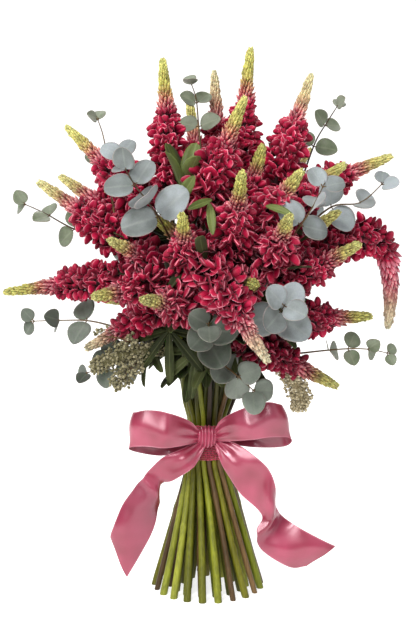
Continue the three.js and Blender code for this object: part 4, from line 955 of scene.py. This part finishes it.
for name, look in seedHeads.items():
    shape = newShape()
    rng = random.Random(name)
    addStem(shape, next(stick for stick in sticks if stick["name"] == name), 1)
    for route in look["routes"]:
        line = smoothLine(route, samples)
        addTube(shape, line[::3], np.linspace(1.3, 0.6, samples // 3), 6, [0.5, 0, 0.5, 0], 1)
        length = pathLength(line) * (1 - look["from"])
        frames = framesAlong(line)
        if route is look["routes"][0]:  # the crowd of buds in the shade at the middle
            # It stands in for the crowd of buds, with chance 0 for their darker colours as painted shade.
            inner = line[int(look["from"] * (samples - 1))::3]
            radii = [along(look["reach"], k / (len(inner) - 1)) * 0.5 for k in range(len(inner))]
            addTube(shape, inner, radii, 7, [0.5, 0.5, 0, 0], 0)
        for _ in range(int(length / 8)):  # side branches, 8 mm apart
            place, at, out = pickSpot(rng, look["from"], frames, 0.92, (0.3, 0.9))
            branch = np.array([line[at] + out * along(look["reach"], place) * k * 0.8 for k in (0, 0.5, 1)])
            branch[1:, 2] -= 0.6
            addTube(shape, branch, [0.5, 0.4, 0.25], 4, [0.5, 0, 0.5, 0], 1)
        for _ in range(int(length * look["buds"])):
            place, at, out = pickSpot(rng, look["from"], frames, 1, (-0.2, 0.9))
            centre = line[at] + out * along(look["reach"], place) * rng.uniform(0.35, 1.0)
            if look["clear"] and besideTip(centre, *look["clear"]):
                continue
            root = line[at] + (centre - line[at]) * 0.45
            addBud(shape, root, centre, rng.uniform(*look["size"]), rng.random())
    makePiece(name.replace("seed_head", "seeds"), shape, [look["finish"], woodyStem], [name])
print("seed heads grown")

# Two plies twisted round each other, wound round the stems in one long helix. twist is the cord's length in
# one turn of its plies.
winding = {"low": 147.2, "high": 185.8, "radius": 25.45, "cord": 2.05, "ply": 0.62, "apart": 0.48,
           "twist": 7.0, "steps": 40}
turns = (winding["high"] - winding["low"]) / winding["cord"]
steps = int(turns * winding["steps"])
t = np.linspace(0, turns * 2 * math.pi, steps)
z = np.linspace(winding["low"], winding["high"], steps)
shape = newShape()
for ply in (0, math.pi):
    phase = t * winding["radius"] / winding["twist"] * 2 * math.pi + ply
    radius = winding["radius"] + winding["apart"] * np.cos(phase)
    line = np.column_stack([radius * np.cos(t), radius * np.sin(t), z + winding["apart"] * np.sin(phase)])
    addTube(shape, line, np.full(steps, winding["ply"]), 5, [0.5, 0, 0.5, 0])
makePiece("cord_winding", shape, [twine], ["wound_cord"])
print("cord wound")

# The bow's ribbon: thickness, points across and from station to station, the pleats at the knot (how many half
# waves, how high, how far they reach), the length of the cloth's waves along it, how wide a crease is, and how
# high the cloth rolls and its hem waves.
ribbon = {"thick": 0.5, "columns": 17, "steps": 7, "pleats": 5, "pleat": 1.5, "gather": 26, "wave": 62,
          "crease": 5, "roll": 1.1, "hem": 0.4}
# Each band of the bow by the two edges of the ribbon at each station.
bands = {
    "bow_loop_left": [
        ((-9, -37, 183), (-10, -37, 172)), ((-21, -46, 197), (-19, -46, 171)),
        ((-46, -56, 208), (-43, -56, 169)), ((-67, -58, 210), (-66, -58, 171)),
        ((-80, -50, 206), (-85, -50, 168)), ((-76, -36, 204), (-79, -35, 160)),
        ((-47, -30, 201), (-49, -29, 154)), ((-22, -31, 192), (-22, -31, 163)),
        ((-9, -33, 183), (-10, -33, 172))],
    "bow_loop_right": [
        ((7, -37, 184), (8, -37, 173)), ((17, -46, 200), (19, -46, 174)),
        ((45, -56, 215), (45, -56, 178)), ((66, -58, 219), (68, -58, 181)),
        ((79, -50, 214), (89, -50, 178)), ((71, -36, 213), (84, -35, 166)),
        ((46, -30, 207), (55, -29, 163)), ((20, -31, 194), (24, -31, 168)),
        ((7, -33, 184), (8, -33, 173))],
    "bow_tail_left": [
        ((-8, -36, 172), (-2, -36, 168)), ((-30, -46, 165), (-12, -44, 150)),
        ((-50, -52, 157), (-20, -50, 143)), ((-66, -56, 141), (-38, -50, 132)),
        ((-80, -60, 124), (-51, -43, 126)), ((-92, -60, 107), (-53, -48, 104)),
        ((-103, -60, 80), (-60, -58, 77)), ((-105, -58, 72), (-87, -62, 29))],
    "bow_tail_right": [
        ((6, -36, 170), (10, -36, 175)), ((11, -42, 158), (30, -48, 172)),
        ((16, -46, 146), (47, -54, 162)), ((25, -48, 132), (64, -58, 148)),
        ((36, -50, 117), (72, -60, 128)), ((58, -60, 96), (74, -50, 102)), ((52, -66, 80), (82, -46, 91)),
        ((58, -66, 60), (94, -55, 84)), ((87, -60, 40), (113, -58, 74)),
        ((106, -58, 40), (137, -58, 62))],
}
# How far each band swells towards the front, whether both its ends are in the knot, where a crease runs
# across it and how high that is, and how much darker it is from place to place below the crease, partly as
# its reverse side shows and partly as painted shade (place, share).
bandShapes = {
    "bow_loop_left": {"swell": 4.8, "looped": True, "crease": (0.25, 1.0), "reverseAndShade": [(0, 0)]},
    "bow_loop_right": {"swell": -4.8, "looped": True, "crease": (0.25, -1.0), "reverseAndShade": [(0, 0)]},
    "bow_tail_left": {"swell": 4.4, "looped": False, "crease": (0.5, 2.6),
                      "reverseAndShade": [(0.49, 0), (0.53, 0.9), (0.75, 0.5), (1, 0)]},
    "bow_tail_right": {"swell": 4.4, "looped": False, "crease": (0.61, 2.4),
                       "reverseAndShade": [(0.6, 0), (0.65, 0.6), (0.78, 0)]},
}


# Pleats run out of the knot and fade, and the cloth between the edges swells and sinks along the band.
def ribbonSheet(shape, stations, look, rng):
    one, two = [smoothLine(edge, len(stations) * ribbon["steps"]) for edge in zip(*stations)]
    centre = (one + two) / 2
    face = np.cross(np.gradient(centre, axis=0), two - one)
    face /= np.linalg.norm(face, axis=1)[:, None]
    walked = walkedAlong(centre)
    fromKnot = np.minimum(walked, walked[-1] - walked) if look["looped"] else walked
    phase = [rng.uniform(0, 6) for _ in range(3)]
    rows, columns = len(one), ribbon["columns"]
    top, tint = [], []
    for i in range(rows):
        place = walked[i] / walked[-1]
        gathered = math.exp(-(fromKnot[i] / ribbon["gather"]) ** 2)
        ripple = 2 * math.pi * walked[i] / ribbon["wave"]
        # partly the reverse side, partly painted shade below the crease, fading towards the end
        turned = along(look["reverseAndShade"], place)
        folded = (walked[i] - look["crease"][0] * walked[-1]) / ribbon["crease"]
        crease = look["crease"][1] * math.exp(-folded ** 2)
        flat = 1 - 0.75 * math.exp(-((place - 0.5) / 0.1) ** 2) if look["looped"] else 1
        swell = look["swell"] * (1 - 0.7 * gathered) * (1 + 0.45 * math.sin(ripple + phase[1])) * flat
        for j in range(columns):
            v = j / (columns - 1)
            fade = gathered * math.sin(math.pi * v) ** 0.3
            pleats = math.sin(v * math.pi * ribbon["pleats"] + phase[0]) * ribbon["pleat"] * fade
            roll = ribbon["roll"] * math.sin(2 * math.pi * v + 0.6 * ripple + phase[2]) * (1 - gathered)
            hem = ribbon["hem"] * math.sin(i * 0.43 + phase[2]) * abs(2 * v - 1) ** 3
            fall = swell * math.sin(v * math.pi)
            top.append(one[i] + (two[i] - one[i]) * v + face[i] * (pleats + fall + roll + hem + crease))
            tint.append((turned, abs(2 * v - 1), 0.5, 0))
    under = np.array(top) - np.repeat(face, columns, axis=0) * ribbon["thick"]
    faces = sheetFaces(rows, columns, turned=True)
    count, last = rows * columns, (rows - 1) * columns
    for j in range(columns - 1):  # the short edges
        faces += [(j, j + 1, count + j + 1, count + j),
                  (last + j + 1, last + j, count + last + j, count + last + j + 1)]
    addPoints(shape, np.vstack([top, under]), faces, np.vstack([tint, tint]))


# The knot is the same ribbon pulled tight round the middle, so it shows as folds that run round it.
knot = {"centre": (-1, -35.5, 177), "half": (11.4, 8.6, 12.2), "folds": 6, "rows": 49, "columns": 28}
points = []
for i in range(knot["rows"]):
    u = i / (knot["rows"] - 1)
    for j in range(knot["columns"]):
        turn = 2 * math.pi * j / knot["columns"]
        bulge = math.sin(math.pi * (0.08 + 0.84 * u)) ** 0.55
        ridge = abs(math.sin(knot["folds"] * math.pi * u + 0.5 * math.sin(turn) + 0.4 * math.cos(turn * 2)))
        high = bulge * (0.76 + 0.32 * ridge ** 0.7)
        x = knot["half"][0] * (1 - 2 * u) * 0.98
        points.append((knot["centre"][0] + x + 0.8 * math.sin(turn) * (1 - bulge),
                       knot["centre"][1] + knot["half"][1] * high * math.cos(turn),
                       knot["centre"][2] + knot["half"][2] * high * math.sin(turn)))
shape = newShape()
addPoints(shape, np.array(points), gridFaces(knot["rows"], knot["columns"], wrapped=True), [0, 0, 0.5, 0])
piece = makePiece("ribbon_knot", shape, [satin], ["bow_knot"], subdivide=1)
for name, stations in bands.items():
    shape = newShape()
    ribbonSheet(shape, stations, bandShapes[name], random.Random(name))
    piece = makePiece(name.replace("bow", "ribbon"), shape, [satin], [name], subdivide=1)
print("bow tied")
